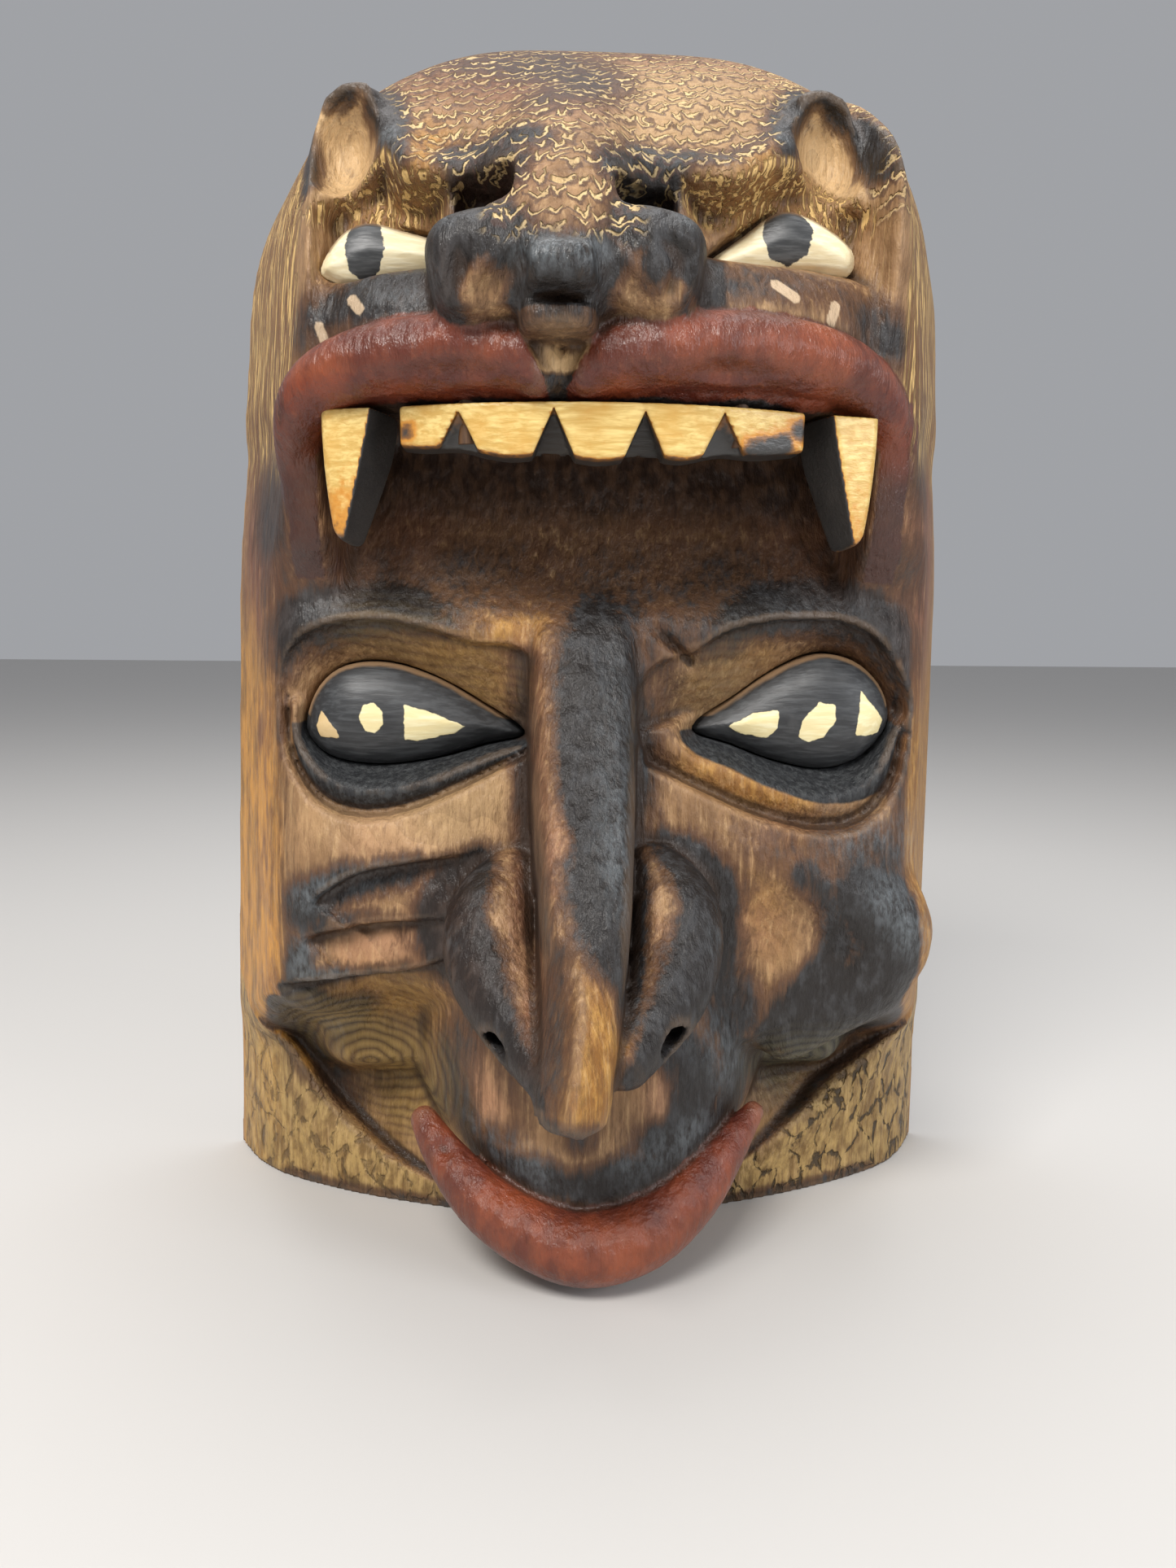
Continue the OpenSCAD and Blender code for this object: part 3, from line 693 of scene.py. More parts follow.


# ---------------------------------------------------------------- where the maker scorched and painted, and where light and shade are painted

# Strokes are rows of (x, z, amount, radius) in mm, seen from the front
BURN = [
    [(-61, 110, .6, 4), (-55, 119, .8, 5), (-40, 122.5, .85, 4.5), (-30, 121.5, .7, 4),
     (-22, 119, .35, 3)],
    [(8, 119, .5, 5), (20, 118, .6, 4), (30, 122.5, .85, 4.5), (42, 123, .85, 5), (54, 119, .8, 5),
     (60, 110, .7, 4)],
    [(6, 121, .6, 4), (12, 113, .45, 3.5), (12, 104, .4, 3)],
    [(0.5, 119, .8, 6), (0.5, 105, 1.15, 7.5), (0, 92, 1.2, 7.5), (0.5, 82, 1, 6), (1, 72, 1, 4.6),
     (3, 64, .7, 2.6)],
    [(-7.5, 68, .45, 3), (-8, 58, .5, 3), (-9, 48, .5, 3)],
    [(5, 76, .95, 3), (4.5, 64, .95, 2.6), (4.5, 56, .6, 2)],
    [(-13, 112, .6, 2.5), (-12.5, 95, .7, 2.5), (-11.5, 80, .65, 2.4), (-10.5, 68, .6, 2.2)],
    [(-10, 42.5, .7, 2.6), (-3, 40.5, .8, 2.6)],
    [(-21, 77, .8, 3), (-25, 71, 1.2, 4.6), (-24.5, 63, 1.3, 6), (-20.5, 55.5, 1.2, 5), (-15, 50, 1, 3.4),
     (-11, 46, .8, 2)],
    [(11, 81, .6, 2.5), (17, 77, 1, 4), (20, 70, 1.2, 5.2), (18.5, 61, 1.3, 6.4), (13, 54, 1.2, 5.4),
     (6, 48, .9, 3)],
    [(-61, 104, .7, 3.4), (-61.5, 84, .6, 3), (-61.5, 66, .6, 3), (-62, 52, .7, 3)],
    [(60, 106, .7, 4.5), (63, 90, .8, 6), (64, 76, .85, 7)],
    [(27, 80, .3, 5), (45, 77, .5, 5), (56, 76, .65, 7)],
    [(-53, 67, .8, 4.5), (-46, 72.3, .85, 3.2), (-36, 75, .8, 3.2), (-27, 77, .5, 2.2)],
    [(-51, 64, .7, 2.6), (-44, 66, .5, 1.6), (-36, 67, .3, 1.2)],
    [(-54, 60, .6, 3), (-55, 54, .8, 3), (-49, 53.6, .7, 2), (-40, 55, .5, 1.5), (-30, 58, .4, 1.5)],
    [(-63, 50, 1, 4.5), (-58, 45, 1.3, 5.8), (-50, 43, 1.2, 4.6), (-44, 46, .6, 2.4)],
    [(-62, 37, .9, 4), (-58, 27, .7, 3.6), (-50, 18, .4, 3)], [(-44, 28, .22, 9)],
    [(-32, 40, .3, 2.4), (-28, 32, .5, 3), (-31, 25, .7, 3)],
    [(-17, 41, .3, 3), (-15, 31, .55, 3.2), (-20, 24.5, .65, 3), (-8, 20, .75, 3), (0, 19, .75, 3.5),
     (12, 22, .85, 5), (22, 28, .8, 5), (27, 36, .75, 5), (25, 46, .65, 4)],
    [(-3, 36, .7, 4), (-3, 28, .5, 3)], [(14, 44, .7, 5), (19, 35, .9, 5.5), (12, 27, .9, 4.5)],
    [(-23, 46, .5, 4), (-26, 36, .65, 4), (-23, 27, .6, 3.4)],
    [(26, 72, .5, 3), (24, 58, .6, 4), (26, 47, .75, 6)],
    [(38, 75, .7, 3), (44, 68, .7, 3), (45, 58, .8, 3.5), (39, 50, .85, 3.6), (35, 43, .9, 4)],
    [(50, 69, 1, 6), (58, 63, 1.1, 9), (60, 54, 1.1, 9), (51, 50, 1.1, 7), (42, 43.5, 1, 5)],
    [(38, 32, .85, 6), (50, 38, .95, 8), (62, 41, .9, 6)],
    # cat
    [(-50, 168, .6, 4), (-40, 171, .85, 4), (-29, 171.5, .85, 4), (-24, 168.5, .6, 3)],
    [(15, 172, .6, 3.5), (28, 173, .6, 3.5), (40, 172, .5, 4), (49, 167, .7, 4)],
    [(-15, 178, 1.1, 3.5), (-22, 176.5, 1.2, 4.5), (-27, 171, 1.2, 4.4), (-24, 165.5, 1, 3),
     (-20, 164.8, .6, 2)],
    [(-13.6, 174, 1.1, 2.6), (-13.4, 168, 1, 2)],
    [(3, 179, 1.1, 4), (10, 178, 1.2, 4.6), (15, 172, 1.2, 4), (14, 167, 1, 2.6), (9, 165, .8, 2)],
    [(-1.4, 173, 1.1, 2.4), (-1.4, 167, .9, 2)], [(6.5, 172, 1, 2), (6, 168, .8, 1.6)],
    [(-13, 171.5, 1.3, 3.8), (-2.5, 171.5, 1.3, 3.8)], [(-13, 166.9, 1.2, 1.0), (-2.5, 166.9, 1.2, 1.0)],
    [(-12.5, 164.5, .6, 2.4), (-3, 164.5, .6, 2.4)], [(-22, 189, 1, 3.6), (-16, 188, .95, 3.2)],
    [(2, 189, .9, 3.4), (10, 189.5, 1, 3.6)], [(-37, 206, .9, 2.6), (-35.5, 200, .8, 1.8)],
    [(-24, 194, .9, 2.6), (-14, 194, .75, 2.6), (-10, 192, .5, 2)],
    [(6, 193, .8, 3), (14, 194.5, .7, 2.2), (22, 196, .4, 1.6), (28, 201, .5, 1.6), (31, 207, .7, 2.2)],
    [(-35, 193, .8, 2.4), (-35, 203, .8, 2.2), (-39, 211, 1, 2.4), (-46, 208, .7, 2)],
    [(-50, 193, .7, 2), (-50.5, 202, .6, 2)],
    [(31.5, 195, .7, 2.4), (31, 204, .7, 2.4), (37, 212, 1, 2.6), (45, 206, .9, 2.2), (48, 196, .8, 2.2)],
    [(-30, 223, .35, 8), (-12, 219, .6, 8), (-3, 211, .65, 7), (-9, 204, .45, 5)],
    [(-24, 229, .3, 6), (5, 230, .45, 7), (22, 229, .3, 6)],
    [(62, 172, .35, 7), (60, 160, .55, 7), (58, 146, .6, 6)],
    [(-62, 160, .25, 7), (-60, 146, .6, 6), (-60, 136, .7, 6)],
]
CLEAR = [
    [(-20, 167.5, .9, 2.6), (-15.5, 170, .8, 2)], [(-25.5, 171, .6, 1.6)],
    [(2.5, 168, .7, 2.4), (8, 165.8, .9, 3)], [(14, 166, .8, 2.6)], [(11.5, 173, .5, 1.6)],
    [(-17, 32, .75, 3.4), (-20, 38, .5, 3)], [(11.5, 33, .7, 2.8), (11, 38, .4, 2)],
    [(-9.5, 108, .6, 2), (-8.8, 92, .8, 2), (-7, 84, .8, 2)], [(4.5, 96, .5, 1.6)], [(30, 66, .5, 4)],
    [(37, 58, .4, 2.4)], [(-38, 79, .4, 4)], [(20, 167.5, .6, 3), (34, 169, .5, 3)],
    [(-44, 165.5, .5, 2.5)], [(-12, 181, .8, 3), (-6, 177, .6, 3), (-2, 181, .7, 3)],
]
# Painted sheen: blue-grey painted highlights on the glossy char, standing in for reflections
PAINTED_SHEEN = [
    [(-12, 172.6, 1, 2.6), (-3, 172.6, 1, 2.6)], [(-36, 200, .8, 1.8), (-34, 195, .8, 1.8)],
    [(30, 200, .7, 1.8)], [(-36, 169, .6, 3), (-28, 170.5, .5, 3)], [(20, 193.5, .6, 1.8)],
    [(-26, 178.5, .5, 2.2)], [(12, 180, .6, 2.4)], [(-50, 121, .4, 3), (-38, 122, .4, 3)],
    [(34, 122, .35, 3), (48, 122, .4, 3)],
    [(3, 112, .35, 3), (3, 96, .4, 3.4), (2, 84, .7, 3), (3, 76, .6, 2.4)],
    [(-53, 69, 1, 2.6), (-46, 73, 1, 2.4), (-36, 75.6, .7, 2)],
    [(-54, 60, .8, 2.2), (-54, 54, 1, 2.2), (-46, 53.6, .8, 2)], [(54, 70, .8, 4), (60, 62, .9, 4)],
    [(46, 82, .5, 5), (58, 80, .6, 5)], [(22, 45, .6, 4), (26, 37, .7, 3)],
    [(-22, 28, .5, 3), (-10, 22, .6, 3)], [(6, 23, .6, 3), (18, 28, .7, 3)], [(-25, 66, .4, 2)],
    [(21, 66, .5, 2.4)],
]
ROSY = [
    [(-10.5, 64, .7, 2.4), (-11.5, 50, .7, 2.6)],
    [(-64, 156, .4, 7), (-64, 140, 1, 9), (-64, 126, 1, 8), (-62, 114, .6, 5)],
    [(64, 176, .5, 8), (64, 158, .9, 9), (64, 140, 1, 9), (64, 124, 1, 8), (64, 108, .6, 5)],
    [(-63, 104, .8, 3), (-64, 76, .8, 3), (-63, 50, .8, 3)],
    [(-13, 113, 1, 3), (-12.5, 95, 1, 3), (-11.5, 78, 1, 3), (-15, 62, .5, 3)],
    [(-26, 70, .8, 5), (-24, 58, .8, 5)], [(-22, 188, .9, 4), (-16, 187, .9, 4)],
    [(-32, 222, .7, 9), (-12, 216, 1, 11), (-6, 206, .9, 8)], [(8, 226, .7, 8), (26, 222, .5, 7)],
    [(-34, 212, .5, 7)], [(-44, 128, .6, 8), (-36, 138, .7, 8)], [(38, 138, .7, 8), (46, 128, .6, 8)],
    [(-40, 164.5, .5, 4), (-26, 170, .5, 4)],
]
OCHRE = [
    [(-42, 47, 1, 7), (-33, 47, 1, 7), (-28, 55, .6, 4)], [(-44, 33, .8, 10), (-36, 24, .6, 8)],
    [(1.5, 62, 1.1, 6), (-1, 48, 1.2, 7), (-8, 50, .8, 4), (-7, 60, .8, 3.5)],
    [(-28, 116, .7, 5), (-17, 119, 1, 5), (-10, 120, .8, 4)],
    [(18, 94.5, .8, 3), (28, 90, 1, 3), (38, 87.2, .9, 2.6)], [(29, 70, .5, 5), (32, 62, .3, 5)],
    [(36, 79, .7, 4), (46, 80, .5, 4)], [(-70, 6, .9, 8), (-50, 6, .8, 7), (-38, 4, .6, 5)],
    [(38, 8, .8, 7), (55, 14, 1, 8), (70, 22, 1, 8)],
    [(-29, 198, 1, 4), (-27, 192, 1, 4), (-30, 188, .7, 4)],
    [(24, 189, .9, 4.5), (30, 193, 1, 4.5), (37, 196, .8, 4)], [(-42, 189, .7, 4), (-34, 190, .8, 4)],
    [(-24, 106, .5, 5), (-18, 110, .6, 5)], [(30, 116, .5, 4), (20, 108, .5, 4)],
]
PALE = [
    [(-45, 206, 1.2, 5), (-44.5, 196, 1.2, 5.5)], [(39, 207, 1.2, 5), (40, 196, 1.2, 5.5)],
    [(-7, 162, 1.2, 2.6), (-7.6, 156, 1.2, 1.8)], [(-46, 84, .3, 5), (-28, 84, .5, 6), (-16, 90, .5, 4)],
    [(-17, 69, .5, 2.6), (-14.5, 60, .4, 2.2)], [(11.5, 72, .4, 2.2)],
    [(-66, 196, .4, 8), (-66, 176, .5, 8)], [(66, 196, .5, 8), (70, 178, .4, 8)],
    [(8, 206, .5, 12), (22, 214, .5, 9)], [(-40, 176, .4, 3)], [(24, 170, .3, 4)],
]
PEACH = [
    [(-20, 33, 1, 4), (-24, 42, .9, 4), (-20, 49, .6, 3)], [(12, 34, .9, 3), (13, 42, .9, 3)],
    [(-44, 59, .8, 4), (-32, 61, .8, 4)], [(-40, 82, .7, 5), (-24, 74, .5, 4)],
    [(-6, 88, .7, 2), (-8, 78, .7, 2)], [(-17, 68, .8, 3), (-14, 58, .8, 3), (-10, 54, .7, 2.5)],
    [(10, 72, .7, 2.5), (11, 64, .6, 2.5)], [(34, 82, .8, 4), (44, 79, .6, 4)], [(29, 64, .6, 5)],
    [(-60, 120, .3, 5)], [(56, 122, .4, 5)],
]


RINGS = [
    [(-50, 38, 1, 9), (-38, 32, 1, 9), (-38, 20, .8, 8)],
    [(37, 36, 1, 6), (49, 35, 1, 6), (41, 26, .9, 6)], [(-36, 48, .5, 6)],
    [(-24, 108, .5, 8), (-40, 116, .4, 6)], [(22, 110, .5, 8)],
]
WHISKERS = [
    [(-41, 171.5, 1, .9), (-39.5, 169.5, 1, .9)], [(-47, 168, 1, .8), (-46, 165.5, 1, .8)],
    [(27.5, 173.8, 1, 1.0), (30.5, 171.8, 1, 1.0)], [(38, 171.5, 1, .9), (37, 168.6, 1, .9)],
]
BURN_SHARP, BURN_WIDER, BURN_GAIN, CLEAR_SHARP = 2.4, 1.22, 1.15, 1.7

# Golden planes under the cat's brow, the upper edge of the lips and the foot's upper edge, as x and z
LEFT_PLANE = [(-50, 175), (-50, 188), (-40, 194), (-36, 198), (-32.5, 193), (-25, 191), (-24, 175)]
RIGHT_PLANE = [(14, 177), (12, 191), (22, 192), (28, 196), (37, 199), (47, 190), (46, 176)]
LIP_EDGE = [(-31, 31), (-20, 22.6), (-11, 18), (-2, 16.4), (8, 18.6), (18, 23.6), (30, 31.5)]
SLAB_EDGE = [
    (-82, 46), (-75, 41), (-63, 30), (-54, 18), (-42, 10), (-32, 6), (-20, 2), (20, 2), (30, 8), (40, 16),
    (53, 24), (66, 32), (76, 38), (82, 42),
]


def airbrush(strokes, x, z, sharp=2.4, widen=1.0):
    """The strongest of some soft strokes at each place."""
    total = np.zeros(x.shape, np.float32)
    for rows in strokes:
        line = np.array(rows, float)
        if len(rows) > 1:
            dist, (amount, radius), _ = nearest(curve(rows, per=3), x, z)
        else:
            dist, amount, radius = np.hypot(x - line[0, 0], z - line[0, 1]), line[0, 2], line[0, 3]
        total = np.maximum(total, amount * np.exp(-(dist / np.maximum(radius * widen, .5)) ** sharp * 0.7))
    return total


def rope_gap(rows, p, flat=1.0):
    """Distance from places to the skin of a rope of wood."""
    line = curve(rows, per=3)
    best = np.full(len(p), 1e3, np.float32)
    for a, b in zip(line[:-1], line[1:]):
        e = (b - a)[:3]
        q = p - a[:3]
        t = np.clip((q @ e) / max(e @ e, 1e-9), 0, 1)
        q = q - t[:, None] * e
        q[:, 1] /= flat
        best = np.minimum(best, np.sqrt((q * q).sum(1)) - (a[3] + t * (b[3] - a[3])))
    return best


def attach(obj, **fields):
    for name, values in fields.items():
        layer = obj.data.attributes.new(name, "FLOAT", "POINT")
        layer.data.foreach_set("value", np.ascontiguousarray(values, np.float32))


def normals(obj):
    n = np.empty(len(obj.data.vertices) * 3, np.float32)
    obj.data.vertices.foreach_get("normal", n)
    return n.reshape(-1, 3)


def crevices(c, p, passes=5):
    """How deep in a crevice (negative on a ridge) each place of a carving's surface is."""
    g = np.clip(c.f, -6, 6)
    for _ in range(passes):
        for ax in range(3):
            g = 0.5 * g + 0.25 * (np.roll(g, 1, ax) + np.roll(g, -1, ax))
    q = (p - np.array((c.x[0], c.d[0], c.z[0]))) / c.step
    i = np.floor(q).astype(int)
    i = np.clip(i, 0, np.array(g.shape) - 2)
    f = (q - i).astype(np.float32)
    out = 0
    for a in (0, 1):
        for b in (0, 1):
            for e in (0, 1):
                w = np.prod(np.where([a, b, e], f, 1 - f), axis=1)
                out = out + w * g[i[:, 0] + a, i[:, 1] + b, i[:, 2] + e]
    return -out


def burn_paint(x, d, z, cavity, ledge):
    """Scorch from the strokes; charred in the mouth with painted shade deepening towards its ceiling, a
    painted shade line where the bowls meet the foot, and darker along the very bottom.
    """
    burn = airbrush(BURN, x, z, BURN_SHARP, BURN_WIDER)
    burn = burn * (1 - 0.9 * np.minimum(airbrush(CLEAR, x, z, CLEAR_SHARP), 1))
    # in the mouth: char, with painted shade deepening up towards the ceiling under the teeth
    burn = np.maximum(burn * BURN_GAIN, cavity * (0.45 + 0.47 * ramp(132, 150, z)))
    burn = np.maximum(burn, 0.50 * ramp(118, 123, z) * ramp(142, 132, z) * ramp(70, 60, np.abs(x)))
    gum = ramp(158.6, 157.4, z) * ramp(153, 154, z) * ramp(52, 58, d)
    burn = np.maximum(burn, gum * 0.8)
    on_foot = ramp(0, 1.5, ledge)
    burn = np.maximum(burn * (1 - on_foot), np.minimum(burn, 0.45) * on_foot)
    # painted shade: a dark line just above the edge where the bowls step down to the foot slab
    burn = np.maximum(burn, 0.7 * np.exp(-((ledge + 0.4) / 0.9) ** 2) * (np.abs(x) > 26))
    # darker along the very bottom
    return np.maximum(burn, 0.6 * ramp(4, 1, z))


def red_paint(p):
    """How far inside the red paint a place is: both pairs of lips and the corners of the cat's mouth."""
    x, d, z = p.T
    ropes = [rope_gap(LIPS, p), rope_gap(CAT_LIP_LEFT, p, CAT_LIP_FLAT),
             rope_gap(CAT_LIP_RIGHT, p, CAT_LIP_FLAT),
             rope_gap(CORNER_LEFT, p), rope_gap(CORNER_RIGHT, p)]
    red = -np.minimum.reduce(ropes) + 0.9
    upper = np.interp(x, *np.array(LIP_EDGE, float).T)
    red = np.where(z < 60, np.minimum(red, upper - z + 0.6), red)
    wedge = np.abs(x - WEDGE_X) - 0.5 * (z - WEDGE_Z) - 0.4
    red = np.where((z > 150) & (z < 166), np.minimum(red, wedge), red)
    corner = np.minimum(3.0 - np.abs(np.abs(x) - 51.5), np.minimum(z - 127, 158 - z)) - 9 * ramp(38, 34, d)
    red = np.maximum(red, corner)
    gum_red = np.minimum(z - 155.0 - 0.5 * np.sin(x * 0.33), 160.5 - z) - 9 * ramp(58, 54, d)
    return np.maximum(red, np.where(np.abs(x - WEDGE_X) > 0.5 * (z - WEDGE_Z) + 0.4, gum_red, -9))


def black_paint(x, z):
    """How far inside the black paint of the eyelids a place is."""
    lids = []
    for eye, lid, brow in ((LEFT_EYE, LEFT_LID, LEFT_BROW), (RIGHT_EYE, RIGHT_LID, RIGHT_BROW)):
        ring = curve(eye, closed=True, per=3)
        lid_line = curve(lid)
        zone = inside(np.vstack([lid_line, ring[np.argsort(-ring[:, 0])][:1], curve(brow)[::-1]]), x, z)
        to_lid, _, _ = nearest(lid_line, x, z)
        eye_low = np.interp(x, *lower_edge(ring))
        lids.append(np.minimum(np.minimum(zone, to_lid - 0.8), eye_low - z + 0.2))
    left, right = lids
    to_eye, _, _ = nearest(curve(RIGHT_EYE, closed=True, per=3), x, z, closed=True)
    right = np.minimum(right, 5.4 - to_eye + 0.10 * (x - 36))
    return np.maximum(left, right)


def fur_paint(x, d, z, sideways, front):
    """Where the head has V chips, and where it has long golden strokes."""
    fur = ramp(185, 190, z) * ramp(58, 50, np.abs(x)) * front
    planes = np.maximum(inside(LEFT_PLANE, x, z), inside(RIGHT_PLANE, x, z))
    ears = np.minimum(np.hypot(x + 43, (z - 200) / 1.3), np.hypot(x - 39, (z - 201) / 1.3)) - 9
    fur = np.minimum(fur, ramp(0.5, -1.0, planes)) * ramp(-0.5, 1.5, ears)
    snout = ramp(13, 10, np.abs(x + 7)) * ramp(174, 178, z) * front
    fur = np.maximum(fur, snout * ramp(0.5, -1.0, planes))
    streak = ramp(0.35, 0.7, sideways) * ramp(138, 166, z) * ramp(0.5, 3, d) * ramp(50, 54, np.abs(x))
    golden = 0.9 * ramp(-0.5, 1.5, planes) * ramp(183, 188, z) * front
    return fur, np.maximum(streak * ramp(-1, 1.5, ears), golden)


def raw_paint(x, d, z, ahead):
    """The unpainted back, the hollow and the hanger's seat."""
    hollow = hollow_heights(x, z)
    raw = np.maximum(1 - ramp(0.5, 3, d), ramp(-0.3, -0.6, ahead) * ramp(40, 34, d))
    raw = np.maximum(raw, ramp(1.8, 0.9, d - hollow) * ramp(0.2, 0.6, hollow))
    return np.maximum(raw, (seat_slot(x, z) < 1) & (d < SEAT_DEPTH + 1))


def mask_paint(c, obj, p):
    """Works out where the mask is scorched, painted, oiled and left raw, and where light and shade are
    painted on it.
    """
    x, d, z = p.T
    n = normals(obj)
    ahead, sideways = -n[:, 1], np.abs(n[:, 0])
    front = ramp(-0.45, 0.0, ahead) * ramp(0.5, 4, d)
    # the open mouth's recess: charred, and also given painted shade
    cavity = ramp(126, 141, z) * ramp(51, 46, np.abs(x)) * ramp(156.5, 154, z) * ramp(66, 60, d)
    ledge = np.interp(x, *np.array(SLAB_EDGE, float).T) - z
    slab = ramp(0.45, 0.75, sideways) * ramp(136, 88, z) * ramp(56, 61, np.abs(x))
    crack = ramp(-0.5, 1.5, ledge) * ramp(0.5, 3, d) * ramp(66, 58, d)
    fur, streak = fur_paint(x, d, z, sideways, front)
    attach(obj,
           burn=burn_paint(x, d, z, cavity, ledge) * front * (1 - slab),
           rosy=airbrush(ROSY, x, z) * ramp(-0.6, -0.2, ahead),
           ochre=np.maximum(airbrush(OCHRE, x, z) * front, slab),
           slab=slab,
           pale=airbrush(PALE, x, z) * front,
           peach=airbrush(PEACH, x, z) * front,
           bloom=airbrush(PAINTED_SHEEN, x, z) * front,
           red=red_paint(p),
           black=black_paint(x, z),
           fur=fur,
           streak=streak,
           raw=raw_paint(x, d, z, ahead),
           crack=crack * (0.45 + 0.55 * ramp(-10, 30, x)),
           arc=np.interp(z, *profile_length()),
           oval=np.where(x < 0, np.hypot((x + 44) / 1.35, z - 31), np.hypot((x - 43) / 1.5, z - 32)),
           rings=airbrush(RINGS, x, z) * front * np.where(x > 0, ramp(53, 46, d), 1),
           whisk=airbrush(WHISKERS, x, z, 4) * front,
           dark=cavity,
           crevice=crevices(c, p))


def lower_edge(ring):
    """The lower edge of a closed outline as x and z rows."""
    r = ring[np.argsort(ring[:, 0])]
    mid = np.interp(r[:, 0], [r[0, 0], r[-1, 0]], [r[0, 1], r[-1, 1]])
    low = r[:, 1] <= mid + 0.1
    return r[low, 0], r[low, 1]


def profile_length():
    """Length along the cat's forehead against z."""
    z = np.arange(140, 232, 1.0)
    h = table(z, CAT_DEPTH)
    return z, np.concatenate([[0], np.cumsum(np.hypot(np.diff(h), np.diff(z)))])


# ---------------------------------------------------------------- materials

# Spacing in mm of the wood's rings, the rings in the bowls, and the fur's chips across and along
RING_MM, BOWL_RING_MM, CHIP_WIDE_MM, CHIP_TALL_MM = 1.45, 1.75, 2.9, 3.2


class Look:
    """A material built node by node; plain values are set on the sockets themselves."""

    def __init__(self, name):
        self.mat = bpy.data.materials.new(name)
        self.mat.use_nodes = True
        self.tree = self.mat.node_tree
        self.shader = self.tree.nodes["Principled BSDF"]

    def node(self, kind, inputs=None, out=0, **props):
        n = self.tree.nodes.new(kind)
        for key, value in props.items():
            setattr(n, key, value)
        for key, value in (inputs or {}).items():
            self.put(n.inputs[key], value)
        return n.outputs[out]

    def put(self, socket, value):
        if isinstance(value, bpy.types.NodeSocket):
            self.tree.links.new(value, socket)
        elif isinstance(value, tuple) and len(value) == 3 and socket.type == "RGBA":
            socket.default_value = (*value, 1)
        else:
            socket.default_value = value

    def math(self, op, a, b=0.0, clamp=False):
        return self.node("ShaderNodeMath", {0: a, 1: b}, operation=op, use_clamp=clamp)

    def add(self, a, b, clamp=False):
        return self.math("ADD", a, b, clamp)

    def sub(self, a, b, clamp=False):
        return self.math("SUBTRACT", a, b, clamp)

    def mul(self, a, b, clamp=False):
        return self.math("MULTIPLY", a, b, clamp)

    def sway(self, v, amount):
        """A swing of half the amount to either side of nothing."""
        return self.mul(self.sub(v, 0.5), amount)

    def step(self, low, high, v):
        return self.node("ShaderNodeMapRange", {"Value": v, "From Min": low, "From Max": high},
                         interpolation_type="SMOOTHSTEP")

    def mix(self, factor, a, b):
        n = self.tree.nodes.new("ShaderNodeMix")
        n.data_type = "RGBA"
        n.clamp_factor = True
        self.put(n.inputs["Factor"], factor)
        self.put(n.inputs[6], a)
        self.put(n.inputs[7], b)
        return n.outputs[2]

    def attribute(self, name):
        return self.node("ShaderNodeAttribute", out=2, attribute_name=name)

    def at(self, stretch=(1, 1, 1)):
        """Place on the part in mm, stretched."""
        coords = self.node("ShaderNodeTexCoord", out=3)
        per_mm = tuple(s / MM for s in stretch)
        return self.node("ShaderNodeVectorMath", {0: coords, 1: per_mm}, operation="MULTIPLY")

    def noise(self, size, stretch=(1, 1, 1), detail=3.0, rough=0.55, distort=0.0):
        """Noise from 0 to 1 whose features are about size mm across."""
        return self.node("ShaderNodeTexNoise", {
            "Vector": self.at(stretch), "Scale": 1 / size, "Detail": detail, "Roughness": rough,
            "Distortion": distort})

    def surface(self, colour, rough, coat=0.0, coat_rough=0.2, height=None, depth_mm=0.2, spec=0.5):
        self.put(self.shader.inputs["Base Color"], colour)
        self.put(self.shader.inputs["Roughness"], rough)
        self.put(self.shader.inputs["Coat Weight"], coat)
        self.put(self.shader.inputs["Coat Roughness"], coat_rough)
        self.put(self.shader.inputs["Specular IOR Level"], spec)
        if height is not None:
            relief = {"Height": height, "Strength": 1.0, "Distance": depth_mm * MM}
            bump = self.node("ShaderNodeBump", relief)
            self.put(self.shader.inputs["Normal"], bump)
            self.put(self.shader.inputs["Coat Normal"], bump)
        return self.mat


def bare_wood(k):
    """Wood as it was before the fire, oiled and handled, with its grain, and painted light brightening the
    ochre of the left side.
    """
    ochre_tone = k.mix(k.step(0.4, 0.65, k.mottle), (0.27, 0.115, 0.020), (0.50, 0.26, 0.060))
    lit_side_tone = k.mix(k.mottle, (0.50, 0.21, 0.035), (0.80, 0.40, 0.085))
    olive_foot = k.mix(k.step(0.35, 0.65, k.mottle), (0.19, 0.118, 0.040), (0.47, 0.325, 0.125))
    # painted light on the real ochre: the left side made brighter than the right
    left_side_lit = k.mul(k.mul(k.attribute("slab"), k.step(0.35, 0.6, k.blotch)), k.step(-50.0, -60.0, k.px))
    bare = k.mix(k.step(0.35, 0.68, k.blotch), (0.215, 0.118, 0.055), (0.385, 0.225, 0.108))
    for factor, tone in (
            (k.mul(k.attribute("peach"), 0.85), (0.47, 0.245, 0.135)),
            (k.mul(k.attribute("ochre"), 0.85), ochre_tone),
            (k.mul(k.attribute("pale"), 0.92), (0.66, 0.44, 0.22)),
            (k.mul(k.rosy, 0.75), (0.17, 0.055, 0.038)),
            (k.mul(k.late, 0.2), (0.070, 0.036, 0.012)),
            (left_side_lit, lit_side_tone),
            (k.mul(k.step(0.2, 0.45, k.attribute("crack")), 0.75), olive_foot),
            (k.mul(k.step(0.52, 0.75, k.grain), 0.5), (0.12, 0.058, 0.025)),
            (k.mul(k.step(0.50, 0.30, k.grain), 0.28), (0.72, 0.48, 0.24)),
            (k.mul(k.step(0.55, 0.72, k.fibre), 0.30), (0.14, 0.07, 0.03))):
        bare = k.mix(factor, bare, tone)
    return bare


